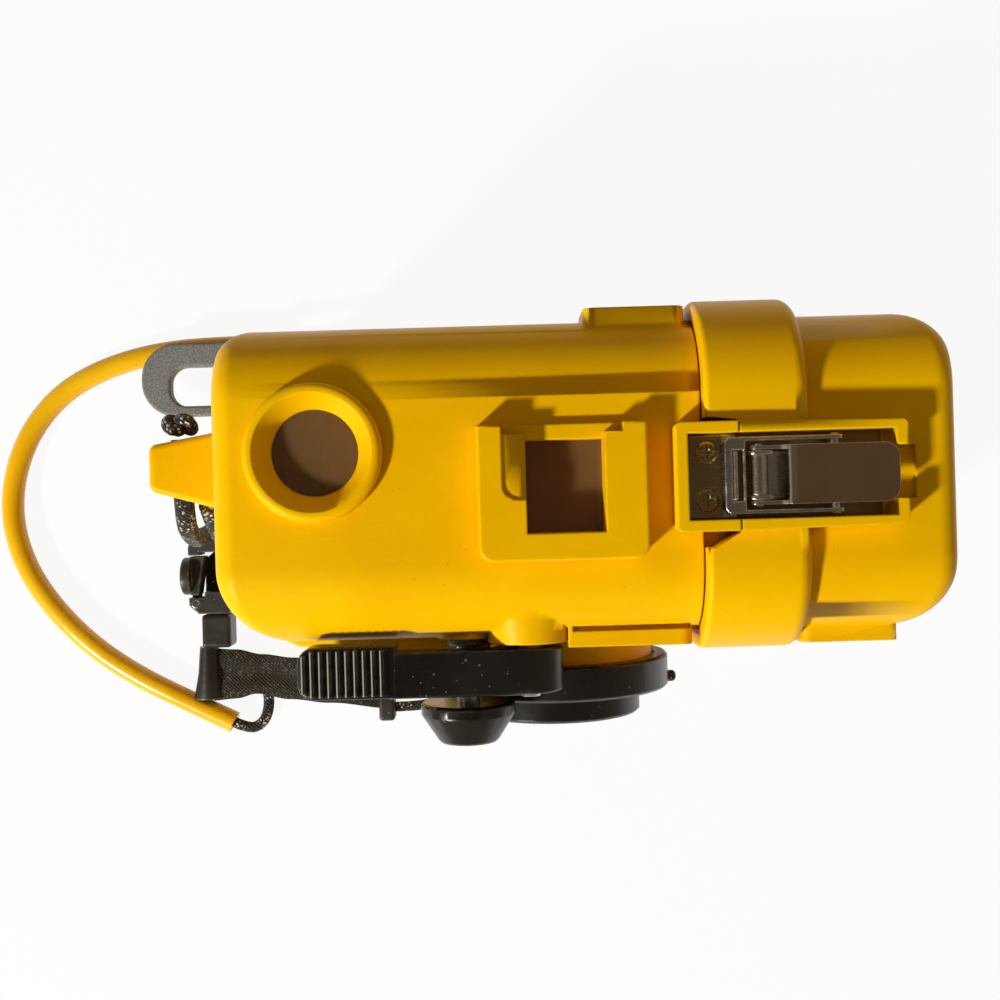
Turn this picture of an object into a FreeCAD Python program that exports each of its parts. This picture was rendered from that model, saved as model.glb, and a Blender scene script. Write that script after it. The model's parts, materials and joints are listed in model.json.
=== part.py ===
"""Underwater camera: a yellow moulded housing with a hinged end cap, a compact film camera inside,
its outside controls, a push-on close-up lens and a lanyard. Millimetres, +X towards the cap,
-Y where the lens looks, +Z up, origin at the mouth of the tripod socket."""
import FreeCAD, Part
import math
import os
import Sketcher
from FreeCAD import Placement, Rotation, Vector

doc = FreeCAD.newDocument("UnderwaterCamera")

# Driving dimensions, one group for each stretch of the object
SIZES = {
    # housing
    "body_left": 79.4,
    "body_right": 77.1,
    "body_depth": 68.4,
    "body_height": 92,
    "end_wall": 5,
    "top_round": 17,
    "base_round": 3,
    "end_round": 5,
    "front_left_corner": 17,
    "rear_left_corner": 8,
    "front_right_corner": 14,
    "rear_right_corner": 11,
    "neck_inset": 2.3,
    "neck_wall": 3,
    "neck_reach": 10.7,
    "neck_lift": 0.8,
    "seam_x": 23.3,
    "seam_gap": 0.3,
    "neck_side_gap": 0.5,
    "neck_top_gap": 1,
    "neck_low_gap": 0.6,
    # cap with its collar
    "collar_proud": 3.9,
    "collar_rise": 4,
    "collar_width": 21.7,
    "shoulder_round": 3,
    "lip_round": 1.2,
    # hinge under the cap
    "hinge_radius": 2.9,
    "hinge_height": 3.2,
    "hinge_relief": 1.5,
    "hinge_pin_radius": 1.25,
    "hinge_knuckle_half": 12,
    "hinge_pin_half": 34,
    "running_gap": 0.05,
    "side_gap": 0.3,
    "fit_gap": 0.1,
    # door seal
    "seal_width": 1.6,
    "seal_depth": 1.4,
    "seal_inset": 0.7,
    # latch, lengthwise from the seam and upwards from the housing's top
    "latch_y": -0.75,
    "nest_overhang": 6.3,
    "nest_end": 6.4,
    "nest_half": 11.2,
    "nest_wall": 2.35,
    "nest_rise": 6,
    "nest_floor_rise": 1.2,
    "pocket_reach": 40.7,
    "pocket_drop": 1,
    "pocket_web": 3.4,
    "mouth_reach": 3.4,
    "striker_thickness": 1,
    "striker_lip": 0.9,
    "striker_end": 6.25,
    "lip_rise": 5.3,
    "screw_offset": 0.4,
    "screw_spacing": 9.8,
    "screw_head_radius": 2.4,
    "screw_head_height": 0.8,
    "screw_shank_radius": 1.25,
    "pivot_offset": 10.9,
    "pivot_rise": 2.6,
    "latch_pin_radius": 1,
    "ear_half": 5,
    "ear_round": 1.9,
    "ear_thickness": 0.8,
    "bail_pin_offset": 26.4,
    "bail_pin_rise": 3.2,
    "lever_half": 6.05,
    "lever_sheet": 0.8,
    "lever_rise": 6.4,
    "lever_start": 17.1,
    "lever_end": 38.8,
    "flange_end": 31.7,
    "bail_half": 7.85,
    "bail_sheet": 0.8,
    "bail_rise": 5,
    "bail_arm_drop": 1.5,
    "bail_arm_half": 1.7,
    "bail_start": 3.6,
    "bail_front": 4.2,
    "slot_edge": 1.5,
    "slot_width": 2.2,
    "slot_half": 5.2,
    # round window over the film counter
    "eye_x": -57.5,
    "eye_y": 6.6,
    "eye_rim_radius": 14.5,
    "eye_mouth_radius": 12.4,
    "eye_throat_radius": 9.1,
    "eye_rim_rise": 2.7,
    "eye_rim_round": 1.5,
    "pane_drop": 2.5,
    "pane_thickness": 2.4,
    "pane_lip": 1.1,
    # accessory shoe with its window
    "shoe_left": -23.5,
    "shoe_right": 11.3,
    "shoe_front": -17,
    "shoe_rear": 11,
    "shoe_rise": 5.6,
    "shoe_corner": 3,
    "shoe_edge": 0.6,
    "shoe_window_left": -13.6,
    "shoe_window_right": 2.5,
    "shoe_window_front": -11.4,
    "shoe_window_rear": 7.8,
    "shoe_prong": 5,
    "shoe_channel_rise": 1.6,
    "shoe_notch": 1.2,
    "shoe_step_front": -4.4,
    "shoe_step_corner": 3,
    "shoe_step_depth": 0.6,
    # finder windows
    "finder_left": 0,
    "finder_right": 21.6,
    "finder_drop": 8,
    "finder_height": 18,
    "finder_rear_proud": 2.1,
    "finder_front_proud": 2.1,
    "shelf_left": -5.2,
    "shelf_height": 6,
    "brow_inset": 1.3,
    "brow_width": 1.1,
    "brow_depth": 1.3,
    "finder_frame": 3,
    "finder_ledge": 1,
    "bezel_corner": 2.5,
    "glass_inset": 0.4,
    # flash window
    "flash_left": 46,
    "flash_right": 67.6,
    "flash_drop": 14,
    "flash_height": 26,
    "flash_proud": 3.2,
    "flash_frame": 1.6,
    "flash_ledge": 1.8,
    "flash_pane": 2.6,
    # lens port and close-up lens
    "lens_x": -6.5,
    "lens_z": 43,
    "port_radius": 24.1,
    "port_bore": 19,
    "port_reach": 11.8,
    "port_glass_radius": 20.6,
    "port_glass_depth": 4,
    "port_seal_radius": 19.3,
    "port_seal_height": 0.8,
    "retainer_length": 2.4,
    "glass_thickness": 3,
    "ring_radius": 27.6,
    "ring_length": 8,
    "ring_edge": 0.6,
    "ring_overlap": 3.5,
    "spigot_depth": 3,
    "spigot_wall": 1.5,
    "front_ring_radius": 20.5,
    "front_ring_length": 6,
    "closeup_bore": 17,
    "nub_radius": 1.4,
    "nub_reach": 2.2,
    "leash_eye_radius": 3.2,
    "leash_eye_bore": 1.3,
    # shutter lever
    "lever_x": -13.5,
    "lever_drop": 14,
    "boss_radius": 9,
    "boss_flare": 1.6,
    "boss_depth": 8,
    "boss_proud": 1,
    "lever_gap": 1,
    "lever_thickness": 9.8,
    "lever_edge": 0.8,
    "hub_radius": 7.2,
    "arm_lift": 2.2,
    "arm_height": 6.2,
    "thumb_left": -63.1,
    "thumb_right": -42.2,
    "thumb_proud": 0.4,
    "thumb_depth": 11.2,
    "thumb_corner": 3.5,
    "thumb_drop": 0.8,
    "thumb_rise": 0.4,
    "rib_pitch": 1.85,
    "rib_width": 0.95,
    "rib_height": 0.8,
    "rib_inset": 0.7,
    "shutter_shaft_radius": 3,
    "shaft_socket": 2,
    "lever_screw_radius": 1.5,
    "gland_wall": 1.15,
    "gland_length": 4.4,
    "shaft_seal_length": 1.3,
    "finger_inset": 4.1,
    "finger_thickness": 3,
    "finger_hub_radius": 5.4,
    "finger_half": 3,
    # control knob
    "knob_x": -27.3,
    "knob_drop": 16.5,
    "knob_radius": 10.4,
    "knob_nose": 6.2,
    "knob_gap": 2.4,
    "knob_length": 8.8,
    "knob_rim": 2.6,
    "knob_edge": 0.6,
    "knob_shaft_radius": 2.5,
    "knob_gland_radius": 4.3,
    "knob_gland_proud": 1.8,
    "knob_seat_radius": 6.6,
    "crank_inset": 1.4,
    "crank_thickness": 2.4,
    "crank_hub_radius": 4,
    "crank_reach": 12,
    "crank_half": 1.8,
    # strap lug
    "lug_reach": 17.4,
    "lug_root": 2,
    "lug_root_low": -5.7,
    "lug_root_high": 13.4,
    "lug_tip_low": -0.2,
    "lug_tip_high": 10,
    "lug_drop": 17,
    "lug_height": 14,
    "lug_hole_reach": 11.6,
    "lug_hole_radius": 2.9,
    # tripod socket
    "socket_radius": 2.6,
    "socket_depth": 8,
    "bushing_radius": 5,
    # camera inside
    "camera_left": -58,
    "camera_right": 57,
    "camera_half": 19.5,
    "camera_corner": 8,
    "camera_edge": 2,
    "pad_height": 5.1,
    "pad_length": 20,
    "pad_half": 14,
    "camera_headroom": 9.7,
    "camera_glass_radius": 11,
    "barrel_radius": 17,
    "barrel_reach": 9,
    "camera_flash_width": 15,
    "camera_flash_depth": 6,
    "camera_flash_proud": 1.4,
    "button_x": -30,
    "button_y": -9,
    "button_radius": 4,
    "button_proud": 2.6,
    "button_length": 4,
    "button_gap": 0.5,
}

sheet = doc.addObject("Spreadsheet::Sheet", "Sizes")
for row, (name, value) in enumerate(SIZES.items(), 1):
    sheet.set(f"A{row}", name)
    sheet.set(f"B{row}", str(value))
    sheet.setAlias(f"B{row}", name)
doc.recompute()


class Size:
    """A length: its value now, and the formula that ties it to the sheet."""

    def __init__(self, value, formula):
        self.value = value
        self.formula = formula

    def __add__(self, other):
        other = sized(other)
        return Size(self.value + other.value, f"({self.formula} + {other.formula})")

    def __sub__(self, other):
        other = sized(other)
        return Size(self.value - other.value, f"({self.formula} - {other.formula})")

    def __mul__(self, other):
        other = sized(other)
        return Size(self.value * other.value, f"({self.formula} * {other.formula})")

    def __truediv__(self, other):
        other = sized(other)
        return Size(self.value / other.value, f"({self.formula} / {other.formula})")

    def __radd__(self, other):
        return sized(other) + self

    def __rsub__(self, other):
        return sized(other) - self

    def __rmul__(self, other):
        return sized(other) * self

    def __neg__(self):
        return sized(0) - self


def sized(number):
    if isinstance(number, Size):
        return number
    return Size(float(number), f"({float(number)})")


def size(name):
    return Size(float(SIZES[name]), f"Sizes.{name}")


def bind(thing, prop, number):
    thing.setExpression(prop, sized(number).formula)


pieces = {}


def piece(name, thing):
    """Names a finished sub-part; its Label is also its file's name."""
    thing.Label = name
    pieces[name] = thing
    return thing


# Operations that the pieces share
TURNS = {
    "+Z": Rotation(),
    "-Z": Rotation(Vector(1, 0, 0), 180),
    "+Y": Rotation(Vector(1, 0, 0), -90),
    "-Y": Rotation(Vector(1, 0, 0), 90),
    "+X": Rotation(Vector(0, 1, 0), 90),
    "-X": Rotation(Vector(0, 1, 0), -90),
}


def place(thing, toward, x, y, z):
    thing.Placement = Placement(Vector(0, 0, 0), TURNS[toward])
    for letter, number in (("x", x), ("y", y), ("z", z)):
        bind(thing, f"Placement.Base.{letter}", number)


def box(x0, x1, y0, y1, z0, z1):
    thing = doc.addObject("Part::Box", "Box")
    bind(thing, "Length", sized(x1) - x0)
    bind(thing, "Width", sized(y1) - y0)
    bind(thing, "Height", sized(z1) - z0)
    place(thing, "+Z", x0, y0, z0)
    return thing


def rod(toward, radius, x, y, z, length):
    thing = doc.addObject("Part::Cylinder", "Rod")
    bind(thing, "Radius", radius)
    bind(thing, "Height", length)
    place(thing, toward, x, y, z)
    return thing


def cone(toward, radius_start, radius_end, x, y, z, length):
    thing = doc.addObject("Part::Cone", "Cone")
    bind(thing, "Radius1", radius_start)
    bind(thing, "Radius2", radius_end)
    bind(thing, "Height", length)
    place(thing, toward, x, y, z)
    return thing


def fuse(*parts):
    thing = doc.addObject("Part::MultiFuse", "Fuse")
    thing.Shapes = list(parts)
    thing.Refine = True
    return thing


def cut(base, *tools):
    thing = doc.addObject("Part::Cut", "Cut")
    thing.Base = base
    thing.Tool = tools[0] if len(tools) == 1 else fuse(*tools)
    thing.Refine = True
    return thing


def common(first, second):
    thing = doc.addObject("Part::MultiCommon", "Common")
    thing.Shapes = [first, second]
    thing.Refine = True
    return thing


def sketch_on(body, plane, points):
    """A closed outline whose corners are each tied to the sheet."""
    sketch = body.newObject("Sketcher::SketchObject", "Outline")
    origin = [f for f in body.Origin.OriginFeatures if f.Role == plane][0]
    sketch.AttachmentSupport = [(origin, "")]
    sketch.MapMode = "FlatFace"
    corners = [(sized(a), sized(b)) for a, b in points]
    spots = [Vector(a.value, b.value, 0) for a, b in corners]
    for i, spot in enumerate(spots):
        sketch.addGeometry(Part.LineSegment(spot, spots[(i + 1) % len(spots)]), False)
    for i in range(len(spots)):
        sketch.addConstraint(Sketcher.Constraint("Coincident", i, 2, (i + 1) % len(spots), 1))
    for i, corner in enumerate(corners):
        for kind, number in zip(("DistanceX", "DistanceY"), corner):
            at = sketch.addConstraint(Sketcher.Constraint(kind, -1, 1, i, 1, number.value))
            sketch.setExpression(f"Constraints[{at}]", number.formula)
    return sketch


def padded(plane, points, start, end, rounds=()):
    """An outline drawn on a plane and padded from start to end, with rounded edges where picked."""
    body = doc.addObject("PartDesign::Body", "Body")
    sketch = sketch_on(body, plane, points)
    away = plane == "XZ_Plane"
    bind(sketch, "AttachmentOffset.Base.z", -sized(end) if away else start)
    pad = body.newObject("PartDesign::Pad", "Pad")
    pad.Profile = sketch
    bind(pad, "Length", sized(end) - start)
    feature = pad
    for radius, pick in rounds:
        doc.recompute()
        edges = [f"Edge{i}" for i, e in enumerate(feature.Shape.Edges, 1) if pick(e)]
        fillet = body.newObject("PartDesign::Fillet", "Round")
        fillet.Base = (feature, edges)
        bind(fillet, "Radius", radius)
        feature = fillet
    return body


def turned(points, toward, x, y, z):
    """A profile of radius and height, turned about its axis and set down facing a direction."""
    body = doc.addObject("PartDesign::Body", "Turned")
    sketch = sketch_on(body, "XZ_Plane", points)
    turn = body.newObject("PartDesign::Revolution", "Turn")
    turn.Profile = sketch
    turn.ReferenceAxis = (sketch, ["V_Axis"])
    turn.Angle = 360
    place(body, toward, x, y, z)
    return body


def rounded(base, radius, pick):
    """Rounds the picked edges of any shape."""
    doc.recompute()
    thing = doc.addObject("Part::Fillet", "Round")
    thing.Base = base
    value = sized(radius).value
    thing.Edges = [(i, value, value) for i, e in enumerate(base.Shape.Edges, 1) if pick(e)]
    return thing


def near(a, b):
    return abs(a - sized(b).value) < 0.01


def upright_at(x, y):
    """Picks the vertical edge that stands at x and y."""
    def pick(edge):
        b = edge.BoundBox
        return b.XLength < 0.01 and b.YLength < 0.01 and near(b.XMin, x) and near(b.YMin, y)
    return pick


def upright(edge):
    b = edge.BoundBox
    return b.XLength < 0.01 and b.YLength < 0.01


def along_x_at(y, z):
    """Picks the edge along X that lies at y and z."""
    def pick(edge):
        b = edge.BoundBox
        return b.YLength < 0.01 and b.ZLength < 0.01 and near(b.YMin, y) and near(b.ZMin, z)
    return pick


def along_y(edge):
    b = edge.BoundBox
    return b.XLength < 0.01 and b.ZLength < 0.01


def in_plane_x(x):
    """Picks the edges that lie in the plane at x."""
    def pick(edge):
        b = edge.BoundBox
        return b.XLength < 0.01 and near(b.XMin, x)
    return pick


def in_plane_z(z):
    def pick(edge):
        b = edge.BoundBox
        return b.ZLength < 0.01 and near(b.ZMin, z)
    return pick


# Outlines of the housing that its shell, neck, cap and seal share
left = -size("body_left")
right = size("body_right")
half = size("body_depth") / 2
height = size("body_height")
seam = size("seam_x")
neck_end = seam + size("neck_reach")
hinge_x = seam + size("hinge_radius")
hinge_z = size("hinge_height")
neck_half = half - size("neck_inset")
neck_top = height - size("neck_inset")
neck_bottom = hinge_z + size("hinge_radius") + size("neck_lift")
cavity_half = neck_half - size("neck_wall")
cavity_top = neck_top - size("neck_wall")
cavity_bottom = neck_bottom + size("neck_wall")
cavity_left = left + size("end_wall")
cavity_right = right - size("end_wall")

# Places that follow from those outlines: latch, windows, lens, lever, knob, lug and the camera inside
nest_left = seam - size("nest_overhang")
nest_top = height + size("nest_rise")
nest_floor = height + size("nest_floor_rise")
pocket_right = seam + size("pocket_reach")
pocket_floor = height - size("pocket_drop")
lip_top = height + size("lip_rise")
screw_x = seam + size("screw_offset")
pivot_x = seam + size("pivot_offset")
pivot_z = height + size("pivot_rise")
bail_pin_x = seam + size("bail_pin_offset")
bail_pin_z = height + size("bail_pin_rise")
lever_top = height + size("lever_rise")
lever_left = seam + size("lever_start")
lever_right = seam + size("lever_end")
flange_right = seam + size("flange_end")
bail_left = seam + size("bail_start")
bail_top = height + size("bail_rise")
eye_rim_top = height + size("eye_rim_rise")
eye_pane_top = height - size("pane_drop")
shoe_top = height + size("shoe_rise")
shoe_channel_floor = height + size("shoe_channel_rise")
finder_high = height - size("finder_drop")
finder_low = finder_high - size("finder_height")
flash_high = height - size("flash_drop")
flash_low = flash_high - size("flash_height")
port_mouth = half + size("port_reach")
ring_back = size("ring_overlap") - port_mouth
ring_front = ring_back - size("ring_length")
front_ring_end = ring_front - size("front_ring_length")
lever_z = height - size("lever_drop")
boss_front = -half - size("boss_proud")
lever_back = boss_front - size("lever_gap")
lever_front = lever_back - size("lever_thickness")
arm_low = lever_z + size("arm_lift")
arm_high = arm_low + size("arm_height")
thumb_back = -half - size("thumb_proud")
thumb_front = thumb_back - size("thumb_depth")
knob_z = height - size("knob_drop")
knob_back = lever_front - size("knob_gap")
knob_front = knob_back - size("knob_length")
lug_tip_x = left - size("lug_reach")
lug_top = height - size("lug_drop")
lug_bottom = lug_top - size("lug_height")
lug_hole_x = left - size("lug_hole_reach")
lug_hole_z = (lug_bottom + lug_top) / 2
camera_low = cavity_bottom + size("pad_height")
camera_high = cavity_top - size("camera_headroom")
button_top = camera_high + size("button_proud")


def end_outline(x0, x1, y, z0, z1, top_radius, low_radius):
    """A bar along X with the housing's end-on outline: rounded top edges, small base edges."""
    return padded(
        "YZ_Plane",
        [(-y, z0), (y, z0), (y, z1), (-y, z1)],
        x0,
        x1,
        [
            (top_radius, lambda e: along_x_at(-y, z1)(e) or along_x_at(y, z1)(e)),
            (low_radius, lambda e: along_x_at(-y, z0)(e) or along_x_at(y, z0)(e)),
        ],
    )


def plan_outline(x0, x1):
    """The housing's outline from above, each corner with its own radius."""
    return padded(
        "XY_Plane",
        [(x0, -half), (x1, -half), (x1, half), (x0, half)],
        0,
        height,
        [
            (size("front_left_corner"), upright_at(x0, -half)),
            (size("rear_left_corner"), upright_at(x0, half)),
            (size("front_right_corner"), upright_at(x1, -half)),
            (size("rear_right_corner"), upright_at(x1, half)),
        ],
    )


def moulding(x0, x1):
    """The moulded outer form between two stations along X."""
    return common(
        plan_outline(left, right),
        end_outline(x0, x1, half, 0, height, size("top_round"), size("base_round")),
    )


def neck_bar(x0, x1, gap_side, gap_top, gap_low):
    return end_outline(
        x0,
        x1,
        neck_half + gap_side,
        neck_bottom - gap_low,
        neck_top + gap_top,
        size("top_round") - size("neck_inset"),
        size("base_round"),
    )


def cavity_bar(x0, x1):
    inner_round = size("top_round") - size("neck_inset") - size("neck_wall")
    return end_outline(x0, x1, cavity_half, cavity_bottom, cavity_top, inner_round, size("base_round"))


def end_crease(end):
    """Picks the sharp edge that runs over an end of the moulding, from side to side."""
    reach = size("front_left_corner").value + 1
    above = (height - size("top_round")).value - 0.01

    def pick(edge):
        b = edge.BoundBox
        at_end = max(abs(b.XMin - end.value), abs(b.XMax - end.value)) < reach
        standing = b.XLength < 0.01 and b.YLength < 0.01
        return at_end and b.ZMin > above and not standing
    return pick


# Main housing: one moulding with the neck, the bosses and the strap lug
shell = rounded(moulding(left, seam - size("seam_gap")), size("end_round"), end_crease(left))
neck = neck_bar(seam - 2, neck_end, 0, 0, 0)
knuckle_web = box(
    seam + 0.2, hinge_x + size("hinge_radius"), -size("hinge_knuckle_half"), size("hinge_knuckle_half"),
    hinge_z, neck_bottom + 1,
)
knuckle = rod(
    "+Y", size("hinge_radius"), hinge_x, -size("hinge_knuckle_half"), hinge_z, size("hinge_knuckle_half") * 2
)

eye = rod("+Z", size("eye_rim_radius"), size("eye_x"), size("eye_y"), cavity_top, eye_rim_top - cavity_top)
eye_rim = rounded(eye, size("eye_rim_round"), in_plane_z(eye_rim_top))
shoe_pad = padded(
    "XY_Plane",
    [
        (size("shoe_left"), size("shoe_front")), (size("shoe_right"), size("shoe_front")),
        (size("shoe_right"), size("shoe_rear")), (size("shoe_left"), size("shoe_rear")),
    ],
    cavity_top,
    shoe_top,
    [
        (size("shoe_corner"), lambda e: upright_at(size("shoe_left"), size("shoe_front"))(e)
            or upright_at(size("shoe_right"), size("shoe_front"))(e)),
        (size("shoe_edge"), in_plane_z(shoe_top)),
    ],
)
nest_front = size("latch_y") - size("nest_half")
nest_back = size("latch_y") + size("nest_half")
nest = padded(
    "XY_Plane",
    [
        (nest_left, nest_front), (seam + size("nest_end"), nest_front),
        (seam + size("nest_end"), nest_back), (nest_left, nest_back),
    ],
    cavity_top,
    nest_top,
    [
        (size("lip_round"), upright_at(nest_left, nest_front)),
        (size("lip_round"), upright_at(nest_left, nest_back)),
    ],
)
boss = cone(
    "+Y", size("boss_radius"), size("boss_radius") + size("boss_flare"), size("lever_x"), boss_front, lever_z,
    size("boss_depth"),
)
port = rod(
    "+Y", size("port_radius"), size("lens_x"), -port_mouth, size("lens_z"), port_mouth - cavity_half
)


def finder_frame(y0, y1):
    """The raised bezel round a finder window."""
    return padded(
        "XZ_Plane",
        [
            (size("finder_left"), finder_low), (size("finder_right"), finder_low),
            (size("finder_right"), finder_high), (size("finder_left"), finder_high),
        ],
        y0,
        y1,
        [(size("bezel_corner"), along_y)],
    )


rear_frame = finder_frame(cavity_half, half + size("finder_rear_proud"))
front_frame = finder_frame(-half - size("finder_front_proud"), -cavity_half)
front_shelf = box(
    size("shelf_left"), size("finder_left") + size("bezel_corner"), -half - size("finder_front_proud"), -cavity_half,
    finder_high - size("shelf_height"), finder_high,
)
brow_slot = box(
    size("shelf_left") + 1, size("finder_right") - 0.6, size("brow_inset") - half,
    size("brow_inset") + size("brow_width") - half, finder_high - size("brow_depth"), finder_high + 1,
)
lug = padded(
    "XY_Plane",
    [
        (left + size("lug_root"), size("lug_root_low")), (left + size("lug_root"), size("lug_root_high")),
        (lug_tip_x, size("lug_tip_high")), (lug_tip_x, size("lug_tip_low")),
    ],
    lug_bottom,
    lug_top,
    [
        (2, lambda e: upright(e) and near(e.BoundBox.XMin, lug_tip_x)),
        (1.5, lambda e: e.BoundBox.ZLength < 0.01),
    ],
)
knob_seat = rod("+Y", size("knob_seat_radius"), size("knob_x"), -half, knob_z, half - cavity_half)

# What is taken out of the housing: its inside, the seats of the panes, the bores of the shafts
cavity_plan = padded(
    "XY_Plane",
    [
        (cavity_left, -cavity_half), (neck_end + 2, -cavity_half), (neck_end + 2, cavity_half),
        (cavity_left, cavity_half),
    ],
    0,
    height,
    [
        (size("front_left_corner") - size("end_wall"), upright_at(cavity_left, -cavity_half)),
        (size("rear_left_corner") - size("end_wall"), upright_at(cavity_left, cavity_half)),
    ],
)
cavity = common(cavity_plan, cavity_bar(cavity_left, neck_end + 1))
hinge_corner = box(hinge_x - hinge_z * 1.2, neck_end + 1, -half - 1, half + 1, -1, hinge_z)
hinge_sweep = rod("+Y", size("hinge_radius") + size("side_gap"), hinge_x, -half - 1, hinge_z, half * 2 + 2)
eye_throat = rod("+Z", size("eye_throat_radius"), size("eye_x"), size("eye_y"), cavity_top - 1, 12)
eye_seat = rod(
    "+Z", size("eye_throat_radius") + size("pane_lip"), size("eye_x"), size("eye_y"), cavity_top - 1,
    eye_pane_top - cavity_top + 1,
)
eye_funnel = cone(
    "+Z", size("eye_throat_radius"), size("eye_mouth_radius"), size("eye_x"), size("eye_y"),
    eye_pane_top, eye_rim_top - eye_pane_top,
)
shoe_hole = box(
    size("shoe_window_left"), size("shoe_window_right"), size("shoe_window_front"), size("shoe_window_rear"),
    cavity_top - 1, shoe_top + 1,
)
shoe_seat = box(
    size("shoe_window_left") - size("pane_lip"), size("shoe_window_right") + size("pane_lip"),
    size("shoe_window_front") - size("pane_lip"), size("shoe_window_rear") + size("pane_lip"),
    cavity_top - 1, eye_pane_top,
)
shoe_channel = box(
    size("shoe_left") + size("shoe_prong"), size("shoe_right") - size("shoe_prong"),
    size("shoe_window_rear") + size("shoe_notch"), size("shoe_rear") + 1, shoe_channel_floor, shoe_top + 1,
)
shoe_notch = box(
    size("shoe_window_left"), size("shoe_window_right"), size("shoe_window_rear") - 1,
    size("shoe_window_rear") + size("shoe_notch") + 1, shoe_channel_floor, shoe_top + 1,
)
step_left = size("shoe_left") + size("shoe_prong")
step_right = size("shoe_window_left") + 1
step_rear = size("shoe_window_rear") + size("shoe_notch") + 1
shoe_step = padded(
    "XY_Plane",
    [
        (step_left, size("shoe_step_front")), (step_right, size("shoe_step_front")),
        (step_right, step_rear), (step_left, step_rear),
    ],
    shoe_top - size("shoe_step_depth"),
    shoe_top + 1,
    [(size("shoe_step_corner"), upright_at(step_left, size("shoe_step_front")))],
)
nest_hollow = box(
    nest_left + size("nest_wall"), seam + 8, nest_front + size("nest_wall"),
    nest_back - size("nest_wall"), nest_floor, nest_top + 1,
)
screw_low = size("latch_y") - size("screw_spacing") / 2
screw_holes = [
    rod("+Z", size("screw_shank_radius"), screw_x, screw_low + size("screw_spacing") * i,
        nest_floor - 5, 6)
    for i in range(2)
]
port_hole = rod(
    "+Y", size("port_bore"), size("lens_x"), -port_mouth - 1, size("lens_z"), port_mouth - cavity_half + 2
)
port_seat = rod(
    "+Y", size("port_glass_radius"), size("lens_x"), -port_mouth - 1, size("lens_z"),
    1 + size("port_reach") - size("port_glass_depth"),
)
finder_wall = size("finder_frame") + size("finder_ledge")
finder_hole = box(
    size("finder_left") + finder_wall, size("finder_right") - finder_wall,
    -half - size("finder_front_proud") - 1, half + size("finder_rear_proud") + 1,
    finder_low + finder_wall, finder_high - finder_wall,
)


def finder_pane(y0, y1, gap):
    return box(
        size("finder_left") + size("finder_frame") - gap, size("finder_right") - size("finder_frame") + gap,
        y0, y1, finder_low + size("finder_frame") - gap, finder_high - size("finder_frame") + gap,
    )


rear_face = half + size("finder_rear_proud")
front_face = -half - size("finder_front_proud")
rear_seat = finder_pane(rear_face - size("glass_thickness"), rear_face + 1, 0)
front_seat = finder_pane(front_face - 1, front_face + size("glass_thickness"), 0)
gland_fit = size("gland_wall") + size("running_gap")
bore_reach = cavity_half - size("top_round") / 2
lever_bore = rod(
    "+Y", size("shutter_shaft_radius") + gland_fit, size("lever_x"), boss_front - 1, lever_z,
    -bore_reach - boss_front + 1,
)
knob_bore = rod(
    "+Y", size("knob_shaft_radius") + gland_fit, size("knob_x"), -half - 1, knob_z, half - bore_reach + 1
)
lug_hole = rod(
    "+Y", size("lug_hole_radius"), lug_hole_x, size("lug_root_low") - 1, lug_hole_z,
    size("lug_root_high") - size("lug_root_low") + 2,
)
socket = rod("+Z", size("bushing_radius"), 0, 0, -1, size("socket_depth") + 1)
pin_bore = rod("+Y", size("hinge_pin_radius"), hinge_x, -half, hinge_z, half * 2)


def seal_ring(x0, x1, outset, width):
    """A frame that follows the neck's end, set in from its outside."""
    inset = -size("seal_inset") - outset
    outer = neck_bar(x0, x1, inset, inset, inset)
    inner = neck_bar(x0 - 1, x1 + 1, inset - width, inset - width, inset - width)
    return cut(outer, inner)


seal_groove = seal_ring(neck_end - size("seal_depth"), neck_end + 1, 0, size("seal_width"))

bulk = fuse(
    cut(fuse(shell, neck), hinge_corner, hinge_sweep), knuckle_web, knuckle, eye_rim, shoe_pad, nest, boss,
    port, rear_frame, front_frame, front_shelf, lug, knob_seat,
)
piece("main_housing", cut(
    bulk, cavity, eye_throat, eye_seat, eye_funnel, shoe_hole, shoe_seat, shoe_channel, shoe_notch, shoe_step, nest_hollow,
    *screw_holes, port_hole, port_seat, finder_hole, brow_slot, rear_seat, front_seat, lever_bore, knob_bore, lug_hole,
    socket, pin_bore, seal_groove,
))

# End cap: collar over the neck, rounded end, latch pocket and flash bezel, in one moulding
collar_end = seam + size("collar_width")
collar_half = half + size("collar_proud")
collar_top = height + size("collar_rise")
collar_bar = end_outline(
    seam, collar_end, collar_half, 0, collar_top, size("top_round") + size("collar_proud"), size("base_round")
)
collar = rounded(
    rounded(collar_bar, size("shoulder_round"), lambda e: in_plane_x(collar_end)(e) and e.BoundBox.ZMax > 1),
    size("lip_round"), lambda e: in_plane_x(seam)(e) and e.BoundBox.ZMax > 1,
)
cap_end = rounded(moulding(collar_end - 2, right), size("end_round"), end_crease(right))
pocket_left = seam + size("nest_end") + size("side_gap")
pocket_taper = size("nest_wall") / 4
pocket = padded(
    "XY_Plane",
    [
        (pocket_left, nest_front), (pocket_right, nest_front + pocket_taper),
        (pocket_right, nest_back - pocket_taper), (pocket_left, nest_back),
    ],
    cavity_top,
    nest_top,
    [(size("lip_round"), lambda e: upright(e) and near(e.BoundBox.XMin, pocket_right))],
)
flash_bezel = padded(
    "XZ_Plane",
    [
        (size("flash_left"), flash_low), (size("flash_right"), flash_low),
        (size("flash_right"), flash_high), (size("flash_left"), flash_high),
    ],
    -half - size("flash_proud"),
    -cavity_half,
    [(size("bezel_corner"), along_y)],
)
cap_knuckles = rod("+Y", size("hinge_radius"), hinge_x, -collar_half + 1, hinge_z, collar_half * 2 - 2)
cap_socket = neck_bar(
    seam - 1, neck_end + size("neck_top_gap"), size("neck_side_gap"), size("neck_top_gap"), size("neck_low_gap")
)
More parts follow.
